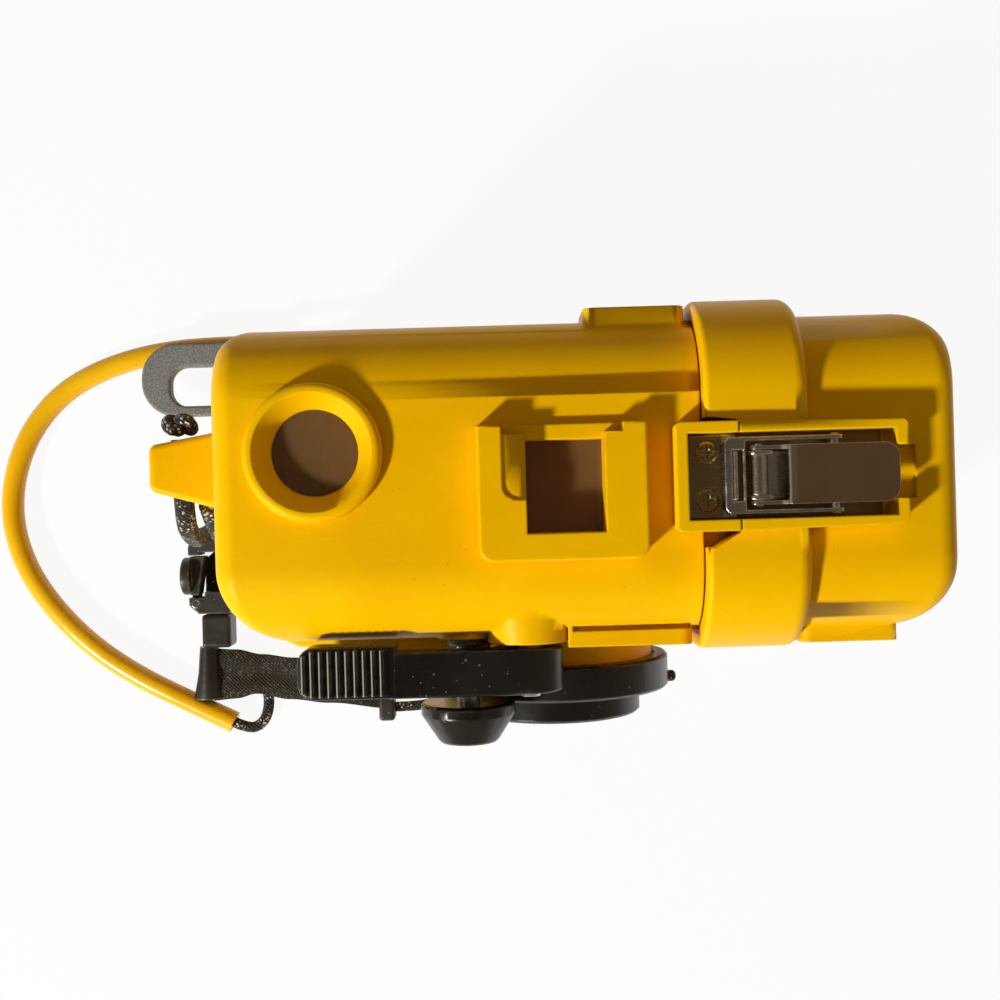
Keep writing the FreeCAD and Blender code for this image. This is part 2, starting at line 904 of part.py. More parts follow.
cap_cavity = cavity_bar(neck_end, cavity_right)
cap_corner = box(seam - 1, hinge_x, -collar_half - 1, collar_half + 1, -1, hinge_z)
cap_relief = box(
    seam - 1, hinge_x - size("hinge_relief"), -collar_half - 1, collar_half + 1, -1, neck_bottom
)
knuckle_slot = box(
    seam - 1, hinge_x + size("hinge_radius") + size("side_gap"),
    -size("hinge_knuckle_half") - size("side_gap"), size("hinge_knuckle_half") + size("side_gap"),
    -1, neck_bottom,
)
notch_land = size("lip_round") + size("side_gap")
notch_flare = (pocket_left - seam) / 2
nest_notch = padded(
    "XY_Plane",
    [
        (seam - 1, nest_front - notch_flare), (seam + notch_land, nest_front - notch_flare),
        (pocket_left, nest_front - size("side_gap")), (pocket_left, nest_back + size("side_gap")),
        (seam + notch_land, nest_back + 1), (seam - 1, nest_back + 1),
    ],
    neck_top - 1,
    nest_top + 1,
)
pocket_hollow = box(
    seam + size("nest_end") - 1, pocket_right - size("nest_wall"), nest_front + size("nest_wall"),
    nest_back - size("nest_wall"), pocket_floor, nest_top + 1,
)
pocket_mouth = box(
    pocket_right - size("nest_wall") - 1, pocket_right + size("mouth_reach"), nest_front + size("nest_wall") + size("pocket_web"),
    nest_back - size("nest_wall") - size("pocket_web"), pocket_floor, nest_top + 1,
)
base_screw_xs = (lever_left + size("screw_head_radius") * 1.5, lever_right - size("screw_head_radius") * 2)
base_holes = [
    rod("+Z", size("screw_shank_radius"), x, size("latch_y"), pocket_floor - 3.5, 4.5)
    for x in base_screw_xs
]
flash_face = -half - size("flash_proud")


def flash_box(inset, y0, y1):
    """A block inside the flash window's bezel, set in from its outside."""
    return box(
        size("flash_left") + inset, size("flash_right") - inset, y0, y1, flash_low + inset, flash_high - inset
    )


flash_hole = flash_box(size("flash_frame") + size("flash_ledge"), flash_face - 1, 0)
flash_seat = flash_box(size("flash_frame"), flash_face - 1, flash_face + size("flash_pane"))
cap_bore = rod(
    "+Y", size("hinge_pin_radius") + size("running_gap"), hinge_x, -size("hinge_pin_half") - size("side_gap"),
    hinge_z, collar_half + size("hinge_pin_half") + 1,
)
piece("door_cap", cut(
    fuse(cut(fuse(collar, cap_end, pocket, flash_bezel), cap_socket, cap_corner, cap_relief), cap_knuckles),
    cap_cavity, knuckle_slot, nest_notch, pocket_hollow, pocket_mouth, *base_holes, flash_hole, flash_seat,
    cap_bore,
))
piece("hinge_pin", rod(
    "+Y", size("hinge_pin_radius"), hinge_x, -size("hinge_pin_half"), hinge_z, size("hinge_pin_half") * 2
))

# Door seal: a rubber gasket in the groove of the neck's end
piece("door_seal", seal_ring(
    neck_end - size("seal_depth"), neck_end + size("side_gap"), size("running_gap"),
    size("seal_width") - size("running_gap") * 2,
))

# Panes: each sits in its own seat, a hair smaller than it
fit = size("fit_gap")
piece("top_window", rod(
    "+Z", size("eye_throat_radius") + size("pane_lip") - fit, size("eye_x"), size("eye_y"),
    eye_pane_top - size("pane_thickness"), size("pane_thickness"),
))
piece("shoe_window", box(
    size("shoe_window_left") - size("pane_lip") + fit, size("shoe_window_right") + size("pane_lip") - fit,
    size("shoe_window_front") - size("pane_lip") + fit, size("shoe_window_rear") + size("pane_lip") - fit,
    eye_pane_top - size("pane_thickness"), eye_pane_top,
))
pane_back = size("glass_thickness")
pane_front = size("glass_inset")
piece("rear_finder_window", finder_pane(rear_face - pane_back, rear_face - pane_front, -fit))
piece("front_finder_window", finder_pane(front_face + pane_front, front_face + pane_back, -fit))
piece("flash_window", flash_box(size("flash_frame") + fit, flash_face, flash_face + size("flash_pane")))
port_ledge = size("port_reach") - size("port_glass_depth") - port_mouth
port_fit = size("port_glass_radius") - fit
seal_height = size("port_seal_height")
port_glass_front = port_ledge - seal_height - size("glass_thickness")
piece("port_seal", turned(
    [(size("port_seal_radius"), 0), (port_fit, 0), (port_fit, seal_height), (size("port_seal_radius"), seal_height)],
    "-Y", size("lens_x"), port_ledge, size("lens_z"),
))
piece("port_glass", rod(
    "+Y", port_fit, size("lens_x"), port_glass_front, size("lens_z"), size("glass_thickness"),
))
piece("port_retaining_ring", turned(
    [
        (size("port_bore"), 0), (port_fit, 0), (port_fit, size("retainer_length")),
        (size("port_bore") + size("ring_edge"), size("retainer_length")),
        (size("port_bore"), size("retainer_length") - size("ring_edge")),
    ],
    "-Y", size("lens_x"), port_glass_front, size("lens_z"),
))

# Close-up lens: an adapter ring that pushes over the port, a screwed-in front ring and its glass
ring_length = size("ring_length")
ring_edge = size("ring_edge")
overlap_end = size("ring_overlap") + size("side_gap")
ring_bore = size("port_radius") + size("side_gap")
spigot_bore = size("front_ring_radius") - size("spigot_wall")
adapter = turned(
    [
        (ring_bore, 0), (size("ring_radius") - ring_edge, 0), (size("ring_radius"), ring_edge),
        (size("ring_radius"), ring_length - ring_edge), (size("ring_radius") - ring_edge, ring_length),
        (spigot_bore, ring_length), (spigot_bore, overlap_end), (ring_bore, overlap_end),
    ],
    "-Y", size("lens_x"), ring_back, size("lens_z"),
)
nub_y = ring_back - ring_length + size("nub_radius") + size("fit_gap")
nub_end = size("lens_x") + size("ring_radius") + size("nub_reach")
adapter_nub = rounded(
    rod(
        "+X", size("nub_radius"), size("lens_x") + size("ring_radius") - ring_edge, nub_y, size("lens_z"),
        size("nub_reach") + ring_edge,
    ),
    size("nub_radius") * 0.8, in_plane_x(nub_end),
)
leash_angle = math.radians(212)
leash_x = size("lens_x") + size("ring_radius") * 1.08 * math.cos(leash_angle)
leash_z = size("lens_z") + size("ring_radius") * 1.08 * math.sin(leash_angle)
leash_eye = rod("+Y", size("leash_eye_radius"), leash_x, ring_back - ring_length + 2, leash_z, ring_length - 5)
leash_hole = rod("+Y", size("leash_eye_bore"), leash_x - 0.8, ring_back - ring_length, leash_z - 0.6, ring_length)
piece("closeup_adapter_ring", cut(fuse(adapter, adapter_nub, leash_eye), leash_hole))
front_length = size("front_ring_length")
spigot = spigot_bore - size("running_gap")
lens_seat = size("closeup_bore") - 1
piece("closeup_front_ring", turned(
    [
        (lens_seat, -size("spigot_depth")), (spigot, -size("spigot_depth")), (spigot, 0),
        (size("front_ring_radius"), 0), (size("front_ring_radius"), front_length - ring_edge),
        (size("front_ring_radius") - ring_edge, front_length), (size("closeup_bore") + 1, front_length),
        (size("closeup_bore"), front_length - 1), (size("closeup_bore"), 1 - size("spigot_depth")),
        (lens_seat, 1 - size("spigot_depth")),
    ],
    "-Y", size("lens_x"), ring_front, size("lens_z"),
))
glass_back = ring_front + size("spigot_depth") - 1
piece("closeup_lens", turned(
    [
        (0, -0.1), (5, 0), (10, 0.35), (size("closeup_bore") - fit, 1), (size("closeup_bore") - fit, 3),
        (13, 4), (9, 4.7), (4.5, 5.1), (0, 5.2),
    ],
    "-Y", size("lens_x"), glass_back, size("lens_z"),
))

# Latch keeper: a striker plate with an upright lip, held by two countersunk screws
striker_right = seam + size("striker_end")
striker_top = nest_floor + size("striker_thickness")
striker_inset = size("nest_wall") + size("side_gap")
striker_base = box(
    nest_left + striker_inset, striker_right, nest_front + striker_inset, nest_back - striker_inset,
    nest_floor, striker_top,
)
lip_half = size("slot_half") - size("side_gap")
striker_lip = box(
    striker_right - size("striker_lip"), striker_right, size("latch_y") - lip_half, size("latch_y") + lip_half,
    nest_floor, lip_top,
)
sinks = [
    cone("+Z", size("screw_shank_radius"), size("screw_head_radius"), screw_x,
         screw_low + size("screw_spacing") * i, nest_floor, size("striker_thickness"))
    for i in range(2)
]
piece("striker_plate", cut(
    fuse(striker_base, rounded(striker_lip, size("striker_lip") * 0.45, along_y)), *sinks
))


def countersunk_screw(x, y, top, shank_length):
    """A countersunk screw with a crosswise recess, head up."""
    head = cone("+Z", size("screw_shank_radius"), size("screw_head_radius"), x, y,
                top - size("striker_thickness"), size("striker_thickness"))
    crown = cone("+Z", size("screw_head_radius"), size("screw_head_radius") - 0.7, x, y, top, 0.35)
    shank = rod("+Z", size("screw_shank_radius") - fit, x, y, top - shank_length, shank_length - 0.5)
    slots = [
        box(x - a, x + a, y - b, y + b, top - 0.5, top + 1) for a, b in ((1.3, 0.3), (0.3, 1.3))
    ]
    return cut(fuse(head, crown, shank), *slots)


piece("striker_screws", fuse(*[
    countersunk_screw(screw_x, screw_low + size("screw_spacing") * i, striker_top, 5.2) for i in range(2)
]))

# Toggle latch on the cap: base with two ears, lever on a pin, bail on the lever
latch_y = size("latch_y")
ear_round = size("ear_round")
ear_top = pivot_z + ear_round
base_top = pocket_floor + size("ear_thickness")
base_plate = box(
    pivot_x - ear_round * 1.4, lever_right - ear_round, latch_y - size("ear_half"), latch_y + size("ear_half"),
    pocket_floor, base_top,
)


def cross_rod(radius, x, z, half_length):
    """A rod across the latch, centred on it."""
    return rod("+Y", radius, x, latch_y - half_length, z, half_length * 2)


def ear(y0):
    """A side of the latch's base, folded up to hold the lever's pin."""
    plate = box(
        pivot_x - ear_round * 1.2, pivot_x + ear_round * 1.8, y0, y0 + size("ear_thickness"), pocket_floor, ear_top
    )
    return rounded(plate, ear_round * 0.9, lambda e: along_y(e) and near(e.BoundBox.ZMin, ear_top))


piece("latch_base", cut(
    fuse(base_plate, ear(latch_y - size("ear_half")), ear(latch_y + size("ear_half") - size("ear_thickness"))),
    cross_rod(size("latch_pin_radius"), pivot_x, pivot_z, size("bail_half") + 1),
    *[
        rod("+Z", size("screw_shank_radius"), x, latch_y, pocket_floor - 1, size("ear_thickness") + 2)
        for x in base_screw_xs
    ],
))
head_height = size("screw_head_height")
piece("latch_base_screws", fuse(*[
    fuse(
        rod("+Z", size("screw_shank_radius") - fit, x, latch_y, pocket_floor - 3, size("ear_thickness") + 3),
        cone("+Z", size("screw_head_radius"), size("screw_head_radius") - head_height, x, latch_y, base_top,
             head_height),
    )
    for x in base_screw_xs
]))
piece("latch_pivot_pin", fuse(
    cross_rod(size("latch_pin_radius"), pivot_x, pivot_z, size("lever_half") + size("lever_sheet") / 2),
    cross_rod(ear_round, pivot_x, pivot_z, size("ear_half") - size("ear_thickness") - fit),
))


def lever_flange(y0):
    """A side of the latch lever, folded down from its plate."""
    under = lever_top - size("lever_sheet") / 2
    nose_x = pivot_x - ear_round
    nose_low = pivot_z - ear_round * 0.9
    return padded(
        "XZ_Plane",
        [
            (nose_x, nose_low), (flange_right - ear_round * 2, nose_low), (flange_right, under - ear_round),
            (flange_right, under), (lever_left, under), (lever_left - ear_round, ear_top), (nose_x, ear_top),
        ],
        y0,
        y0 + size("lever_sheet"),
        [(ear_round * 0.8, lambda e: along_y(e) and near(e.BoundBox.XMin, nose_x))],
    )


lever_plate = padded(
    "XY_Plane",
    [
        (lever_left, latch_y - size("lever_half")), (lever_right, latch_y - size("lever_half")),
        (lever_right, latch_y + size("lever_half")), (lever_left, latch_y + size("lever_half")),
    ],
    lever_top - size("lever_sheet"),
    lever_top,
    [(size("lever_half") / 2, lambda e: upright(e) and near(e.BoundBox.XMin, lever_right))],
)
lever_curl = cross_rod(size("lever_sheet"), lever_left, lever_top - size("lever_sheet"), size("lever_half"))
piece("latch_lever", cut(
    fuse(lever_plate, lever_curl, lever_flange(latch_y - size("lever_half")),
         lever_flange(latch_y + size("lever_half") - size("lever_sheet"))),
    cross_rod(size("latch_pin_radius") + size("running_gap"), pivot_x, pivot_z, size("bail_half") + 1),
    cross_rod(size("latch_pin_radius"), bail_pin_x, bail_pin_z, size("bail_half") + 1),
))
piece("bail_pin", cross_rod(
    size("latch_pin_radius"), bail_pin_x, bail_pin_z, size("bail_half") + size("lever_sheet") / 2
))


def bail_arm(y0):
    """A side strip of the bail, from its front plate to its pin."""
    arm_half = size("bail_arm_half")
    arm_under = bail_top - size("bail_sheet") - size("bail_arm_drop")
    arm_start = bail_left + size("bail_sheet")
    return padded(
        "XZ_Plane",
        [
            (arm_start, arm_under), (bail_pin_x - arm_half * 2, arm_under),
            (bail_pin_x - arm_half, bail_pin_z - arm_half), (bail_pin_x + arm_half, bail_pin_z - arm_half),
            (bail_pin_x + arm_half, bail_pin_z + arm_half), (arm_start, bail_top),
        ],
        y0,
        y0 + size("bail_sheet"),
        [(arm_half * 0.7, lambda e: along_y(e) and near(e.BoundBox.XMin, bail_pin_x + arm_half))],
    )


bail_plate = padded(
    "XY_Plane",
    [
        (bail_left, latch_y - size("bail_half")),
        (bail_left + size("bail_front"), latch_y - size("bail_half")),
        (bail_left + size("bail_front"), latch_y + size("bail_half")),
        (bail_left, latch_y + size("bail_half")),
    ],
    bail_top - size("bail_sheet"),
    bail_top,
    [(size("bail_sheet") * 2, lambda e: upright(e) and near(e.BoundBox.XMin, bail_left))],
)
slot_start = bail_left + size("slot_edge")
bail_slot = box(
    slot_start, slot_start + size("slot_width"), latch_y - size("slot_half"), latch_y + size("slot_half"),
    bail_top - size("bail_sheet") - 1, bail_top + 1,
)
piece("latch_bail", cut(
    fuse(bail_plate, bail_arm(latch_y - size("bail_half")), bail_arm(latch_y + size("bail_half") - size("bail_sheet"))),
    bail_slot,
    cross_rod(size("latch_pin_radius") + size("running_gap"), bail_pin_x, bail_pin_z, size("bail_half") + 1),
))

# Shutter lever: hub, arm and ribbed thumb pad in one moulding, on a shaft through the housing's boss
lever_x = size("lever_x")
hub_radius = size("hub_radius")
thumb_left = size("thumb_left")
thumb_right = size("thumb_right")
thumb_low = arm_low - size("thumb_drop")
thumb_high = arm_high + size("thumb_rise")
arm_end = thumb_right - 2
arm = padded(
    "XZ_Plane",
    [
        (arm_end, arm_low), (lever_x - hub_radius - 1, arm_low),
        (lever_x - hub_radius * 0.62, lever_z - hub_radius * 0.69), (lever_x, lever_z),
        (lever_x, lever_z + hub_radius), (lever_x - hub_radius * 0.8, arm_high), (arm_end, arm_high),
    ],
    lever_front,
    lever_back,
    [(size("lever_edge"), lambda e: e.BoundBox.YLength < 0.01 and near(e.BoundBox.YMin, lever_front))],
)
hub = rounded(
    rod("+Y", hub_radius, lever_x, lever_front, lever_z, lever_back - lever_front),
    size("lever_edge"), lambda e: e.BoundBox.YLength < 0.01,
)
thumb_pad = padded(
    "XY_Plane",
    [
        (thumb_left, thumb_front), (thumb_right, thumb_front), (thumb_right, thumb_back), (thumb_left, thumb_back),
    ],
    thumb_low,
    thumb_high,
    [
        (size("thumb_corner"), lambda e: upright(e) and near(e.BoundBox.XMin, thumb_left)),
        (size("lever_edge"), in_plane_z(thumb_high)),
    ],
)
rib_count = int((SIZES["thumb_right"] - SIZES["thumb_left"] - 1.2) / SIZES["rib_pitch"])


def rib(i):
    """One raised line across the thumb pad; the first is shorter, between the pad's round corners."""
    start = thumb_left + 1 + size("rib_pitch") * i
    inset = size("rib_inset") + (0.9 if i == 0 else 0)
    return box(
        start, start + size("rib_width"), thumb_front + inset, thumb_back - inset, arm_high,
        thumb_high + size("rib_height"),
    )


shaft_radius = size("shutter_shaft_radius")
shaft_front = lever_front + size("shaft_socket")
finger_front = size("finger_inset") - cavity_half
finger_back = finger_front + size("finger_thickness")
lever_screw_radius = size("lever_screw_radius")
screw_bite = size("shaft_socket") + 5
piece("shutter_lever", cut(
    fuse(arm, hub, thumb_pad, *[rib(i) for i in range(rib_count)]),
    rod("+Y", shaft_radius + size("running_gap"), lever_x, shaft_front, lever_z, finger_back - shaft_front),
    rod("+Y", lever_screw_radius, lever_x, lever_front - 1, lever_z, size("shaft_socket") + 2),
))
piece("shutter_shaft", cut(
    rod("+Y", shaft_radius, lever_x, shaft_front, lever_z, finger_back - shaft_front),
    rod("+Y", lever_screw_radius, lever_x, shaft_front - 1, lever_z, 6),
))
piece("lever_screw", fuse(
    rod("+Y", lever_screw_radius - fit, lever_x, lever_front, lever_z, screw_bite),
    cone("+Y", lever_screw_radius + 0.7, lever_screw_radius + 1.4, lever_x, lever_front - 1.2, lever_z, 1.2),
))
bore_fit = shaft_radius + size("running_gap")
gland_outside = shaft_radius + size("gland_wall")
piece("shutter_gland", turned(
    [
        (bore_fit, 0), (gland_outside, 0), (gland_outside, size("gland_length")), (bore_fit, size("gland_length")),
    ],
    "+Y", lever_x, boss_front + fit, lever_z,
))
seal_length = size("shaft_seal_length")
piece("shutter_seal", turned(
    [(bore_fit, 0), (gland_outside, 0), (gland_outside, seal_length), (bore_fit, seal_length)],
    "+Y", lever_x, boss_front + size("gland_length") + fit * 2, lever_z,
))
finger_low = button_top + size("button_gap")
finger_high = lever_z + size("finger_hub_radius") - 0.2
button_x = size("button_x")
finger_hub = rod("+Y", size("finger_hub_radius"), lever_x, finger_front, lever_z, finger_back - finger_front)
finger_bar = box(button_x - size("finger_half"), lever_x, finger_front, finger_back, finger_low, finger_high)
finger_tip = box(
    button_x - size("finger_half"), button_x + size("finger_half"), finger_back - 1,
    size("button_y") + size("button_radius"), finger_low, finger_high,
)
piece("shutter_finger", cut(
    fuse(finger_hub, finger_bar, rounded(finger_tip, 1.2, lambda e: e.BoundBox.ZLength > 0.1)),
    rod("+Y", shaft_radius, lever_x, finger_front - 1, lever_z, size("finger_thickness") + 2),
))

# Control knob: a turned cone on a shaft that runs under the shutter lever, with a crank inside
knob_x = size("knob_x")
knob_radius = size("knob_radius")
knob_edge = size("knob_edge")
knob_length = size("knob_length")
knob_body = turned(
    [
        (0, 0), (knob_radius - knob_edge, 0), (knob_radius, knob_edge), (knob_radius, size("knob_rim")),
        (size("knob_nose") + knob_edge, knob_length - knob_edge), (size("knob_nose"), knob_length), (0, knob_length),
    ],
    "-Y", knob_x, knob_back, knob_z,
)
knob_shaft_front = knob_front + 3
piece("control_knob", cut(
    knob_body,
    rod("+Y", size("knob_shaft_radius"), knob_x, knob_shaft_front, knob_z, knob_length),
))
crank_front = size("crank_inset") - cavity_half
crank_back = crank_front + size("crank_thickness")
piece("control_shaft", rod(
    "+Y", size("knob_shaft_radius"), knob_x, knob_shaft_front, knob_z, crank_back - knob_shaft_front
))
crank_hub = rod("+Y", size("crank_hub_radius"), knob_x, crank_front, knob_z, size("crank_thickness"))
crank_arm = box(
    knob_x - size("crank_half"), knob_x + size("crank_half"), crank_front, crank_back,
    knob_z - size("crank_reach"), knob_z,
)
piece("control_crank", cut(
    fuse(crank_hub, crank_arm),
    rod("+Y", size("knob_shaft_radius"), knob_x, crank_front - 1, knob_z, size("crank_thickness") + 2),
))
knob_bore_fit = size("knob_shaft_radius") + size("running_gap")
knob_gland_outside = size("knob_shaft_radius") + size("gland_wall")
gland_proud = size("knob_gland_proud")
knob_gland_length = size("gland_length") - 1
piece("control_gland", turned(
    [
        (knob_bore_fit, -gland_proud), (size("knob_gland_radius") - 0.4, -gland_proud),
        (size("knob_gland_radius"), 0.4 - gland_proud), (size("knob_gland_radius"), 0), (knob_gland_outside, 0),
        (knob_gland_outside, knob_gland_length), (knob_bore_fit, knob_gland_length),
    ],
    "+Y", knob_x, -half, knob_z,
))
piece("control_seal", turned(
    [(knob_bore_fit, 0), (knob_gland_outside, 0), (knob_gland_outside, seal_length), (knob_bore_fit, seal_length)],
    "+Y", knob_x, -half + knob_gland_length + fit, knob_z,
))

# Tripod socket: a brass bushing moulded into the base
piece("tripod_bushing", turned(
    [
        (size("socket_radius"), 0), (size("bushing_radius"), 0), (size("bushing_radius"), size("socket_depth")),
        (size("socket_radius"), size("socket_depth")),
    ],
    "+Z", 0, 0, 0,
))

# Film camera inside: body, barrel with its glass, finder tube, flash, shutter button, on two rubber pads
camera_half = size("camera_half")
camera_block = padded(
    "XY_Plane",
    [
        (size("camera_left"), -camera_half), (size("camera_right"), -camera_half),
        (size("camera_right"), camera_half), (size("camera_left"), camera_half),
    ],
    camera_low,
    camera_high,
    [(size("camera_corner"), upright), (size("camera_edge"), in_plane_z(camera_high))],
)


def finder_tube(reach):
    """The camera's own finder, right through it from front to rear."""
    return box(
        size("finder_left") + finder_wall + 1, size("finder_right") - finder_wall - 1,
        -camera_half - reach, camera_half + reach, finder_low + 2, camera_high - 2.5,
    )


def flash_head(reach):
    """The camera's own flash, let into its front."""
    back = size("camera_flash_depth") - camera_half
    return box(
        size("camera_right") - 2 - size("camera_flash_width"), size("camera_right") - 2,
        -camera_half - reach, back, flash_low + 5, flash_high - 6,
    )


button_length = size("button_length")
piece("camera_body", cut(
    camera_block, finder_tube(2), flash_head(2),
    rod("+Z", size("button_radius") + size("side_gap"), button_x, size("button_y"), camera_high - button_length,
        button_length + 2),
))
piece("camera_finder_tube", finder_tube(1))
piece("camera_flash", flash_head(size("camera_flash_proud")))
piece("camera_shutter_button", rounded(
    rod("+Z", size("button_radius"), button_x, size("button_y"), button_top - button_length, button_length),
    0.8, in_plane_z(button_top),
))
glass_radius = size("camera_glass_radius")
piece("camera_lens_barrel", turned(
    [
        (glass_radius, 0), (size("barrel_radius"), 0), (size("barrel_radius"), size("barrel_reach") - 1),
        (size("barrel_radius") - 1, size("barrel_reach")), (glass_radius + 1.5, size("barrel_reach")),
        (glass_radius, 3),
    ],
    "-Y", size("lens_x"), -camera_half, size("lens_z"),
))
piece("camera_lens_glass", turned(
    [
        (0, 0), (glass_radius - fit, 0), (glass_radius - fit, 1), (glass_radius * 0.73, 2),
        (glass_radius * 0.36, 2.6), (0, 2.8),
    ],
    "-Y", size("lens_x"), -camera_half, size("lens_z"),
))


def pad_at(x):
    """A rubber block under the camera."""
    return box(x, x + size("pad_length"), -size("pad_half"), size("pad_half"), cavity_bottom, camera_low)


piece("cradle_pads", fuse(
    pad_at(size("camera_left") + 8), pad_at(size("camera_left") + 63)
))

# Lanyard: everything that hangs from the strap lug or lies on the table beside the housing


def tube(name, points, radius):
    """A cord's tube: straight runs joined by tangent arcs, as large as each pair of runs allows."""
    spots = [Vector(*p) for p in points]
    edges = []
    radii = []
    start = spots[0]
    for before, here, after in zip(spots, spots[1:], spots[2:]):
        come = (here - before).normalize()
        go = (after - here).normalize()
        turn = come.getAngle(go)
        reach = 0.45 * min((here - before).Length, (after - here).Length)
        radii.append(reach / math.tan(turn / 2))
        arc_start = here - come * reach
        arc_end = here + go * reach
        inward = (go - come).normalize()
        centre_distance = math.hypot(radii[-1], reach)
        middle = here + inward * (centre_distance - radii[-1])
        edges.append(Part.LineSegment(start, arc_start).toShape())
        edges.append(Part.Arc(arc_start, middle, arc_end).toShape())
        start = arc_end
    edges.append(Part.LineSegment(start, spots[-1]).toShape())
    path = Part.Wire(edges)
    first = (spots[1] - spots[0]).normalize()
    section = Part.Wire([Part.Circle(spots[0], first, radius).toShape()])
    solid = path.makePipeShell([section], True, False)
    share = solid.Volume / (math.pi * radius ** 2 * path.Length)
    print(f"{name}: length {path.Length:.1f} mm, volume share {share:.3f}, radii",
          " ".join(f"{r:.0f}" for r in radii))
    thing = doc.addObject("Part::Feature", name)
    thing.Shape = solid
    return piece(name, thing)


def ball(radius, x, y, z):
    thing = doc.addObject("Part::Sphere", "Ball")
    bind(thing, "Radius", radius)
    place(thing, "+Z", x, y, z)
    return thing


lug_x = lug_hole_x.value
lug_z = lug_hole_z.value
tube("lug_cord", [
    (lug_x, 11.4, lug_z), (lug_x, -7, lug_z), (-94, -11.5, 48), (-97.8, -12, 26), (-99, -10.2, 4.5),
], 2.3)
piece("lug_knot", ball(4, lug_hole_x, 15.5, lug_hole_z))

lanyard_z = 3
tube("lanyard_tube", [
    (-80, 41, lanyard_z), (-97, 41, lanyard_z), (-113, 40, lanyard_z), (-128, 36.3, lanyard_z),
    (-141, 29.6, lanyard_z), (-150.3, 19, lanyard_z), (-155.3, 6.5, lanyard_z), (-156.3, -6.5, lanyard_z),
    (-152.6, -19.5, lanyard_z), (-145.3, -31, lanyard_z), (-134.8, -42, lanyard_z), (-122, -51, lanyard_z),
    (-108.5, -58, lanyard_z), (-95.3, -64.6, lanyard_z),
], 3)
tube("lanyard_cord_front", [
    (-95.2, -64.65, lanyard_z), (-91.2, -66.6, lanyard_z), (-87.6, -65.4, 2.6), (-85.8, -61.6, 1.9),
    (-85.8, -56.4, 1.6), (-88, -51.6, 1.6), (-92.4, -48.9, 1.6), (-97.4, -48.4, 1.7),
], 1.5)
tube("lanyard_cord_rear", [
    (-79.9, 41, lanyard_z), (-67, 40.7, lanyard_z), (-66.6, 38.8, 14.6), (-79, 37.4, 14.4), (-86.4, 36.8, 14),
], 1.5)
piece("lanyard_knot", ball(3.05, -89.5, 36.4, 13.9))
ring_low = 6.3
ring_high = 10.4
ring_outer = padded(
    "XY_Plane",
    [(-116.7, 21.2), (-84.8, 21.2), (-84.8, 41.4), (-116.7, 41.4)],
    ring_low,
    ring_high,
    [
        (9.5, lambda e: upright(e) and near(e.BoundBox.XMin, -116.7)),
        (6, lambda e: upright(e) and near(e.BoundBox.XMin, -84.8)),
    ],
)
ring_inner = padded(
    "XY_Plane",
    [(-108.8, 24), (-92, 24), (-92, 34.8), (-108.8, 34.8)],
    ring_low - 1,
    ring_high + 1,
    [(4.5, upright)],
)
piece("lanyard_ring", cut(ring_outer, ring_inner))

# Snap hook: an open frame whose side is a sprung gate on a pin
gate_x = -103.9
gate_y = -30.8
hook_pin_radius = 1.05
hook_block = padded(
    "XY_Plane",
    [(-105.6, -13), (-92.6, -13), (-92.6, -30), (-95, -33.4), (-103, -33.4), (-105.6, -31)],
    2.6,
    9.2,
    [(2.4, lambda e: upright(e) and e.BoundBox.YMin > -14)],
)
piece("snap_hook_body", cut(
    hook_block,
    box(-102.4, -96, -27.4, -16.4, 0, 12),
    box(-107, -102, -27.2, -17.2, 0, 12),
    box(-107, -101.3, -28.9, -27, 0, 12),
    rod("+Z", hook_pin_radius, gate_x, gate_y, 0, 12),
    box(-107, -101.6, -32, -28, 4.6, 7.2),
))
gate_bar = box(-105.2, -103, -28.2, -17.5, 3.2, 8.6)
gate_hub = box(-105.2, -102.9, -31.6, -28, 4.8, 7)
gate_tab = rounded(
    rod("-X", 5.2, -105, -23, 6.2, 2.6), 0.7,
    lambda e: near(e.BoundBox.XMin, -107.6) and e.BoundBox.XLength < 0.01,
)
piece("snap_hook_gate", cut(
    fuse(gate_bar, gate_hub, gate_tab), rod("+Z", hook_pin_radius + 0.05, gate_x, gate_y, 0, 12)
))
piece("snap_hook_pin", rod("+Z", hook_pin_radius, gate_x, gate_y, 2.7, 6.4))
piece("swivel_block", rounded(box(-104.2, -94.2, -42.8, -33.7, 1.6, 10.2), 1.2, lambda e: True))

# Strap end, webbing and ferrule: the webbing lies over the front cord, which is tied into the strap end
piece("strap_end", rounded(
    padded("XY_Plane", [
        (-103.6, -42.9), (-97.7, -42.9), (-97.5, -57.6), (-102.2, -57.4), (-105.2, -55.4), (-106, -52.4),
    ], 0.8, 8.6),
    1.6, lambda e: e.BoundBox.ZMax > 8.5,
))
webbing_low = 3.4
webbing_high = 5.6
piece("webbing_strap", padded(
    "XY_Plane",
    [
        (-97.4, -43.4), (-76, -44.4), (-60, -51.5), (-54.5, -57.5), (-54.5, -64.2), (-61, -63.6), (-76, -59),
        (-97.4, -58.2),
    ],
    webbing_low,
    webbing_high,
))
piece("strap_ferrule", rounded(box(-54.4, -50, -65, -58, 0.3, 6.2), 1, lambda e: e.BoundBox.ZMax > 6))
tube("lens_leash", [
    (-49.9, -61.5, 3), (-43, -61.6, 2.6), (-37, -60, 3.2), (-33.2, -55.6, 8), (-31.9, -50.6, 14.5),
    (-31.8, -47.2, 23.4),
], 1.4)

# Every object is sound, and every piece is written to its own file
doc.recompute()
broken = [o.Label for o in doc.Objects if "Invalid" in o.State or "Error" in o.State]
if broken:
    raise RuntimeError(f"these objects did not rebuild: {broken}")
os.makedirs("parts", exist_ok=True)
for name, thing in pieces.items():
    shape = thing.Shape
    if shape.isNull() or not shape.isValid() or not shape.Solids:
        raise RuntimeError(f"{name} is not a sound solid")
    shape.exportStep(os.path.join("parts", f"{name}.step"))
print(len(pieces), "pieces written")
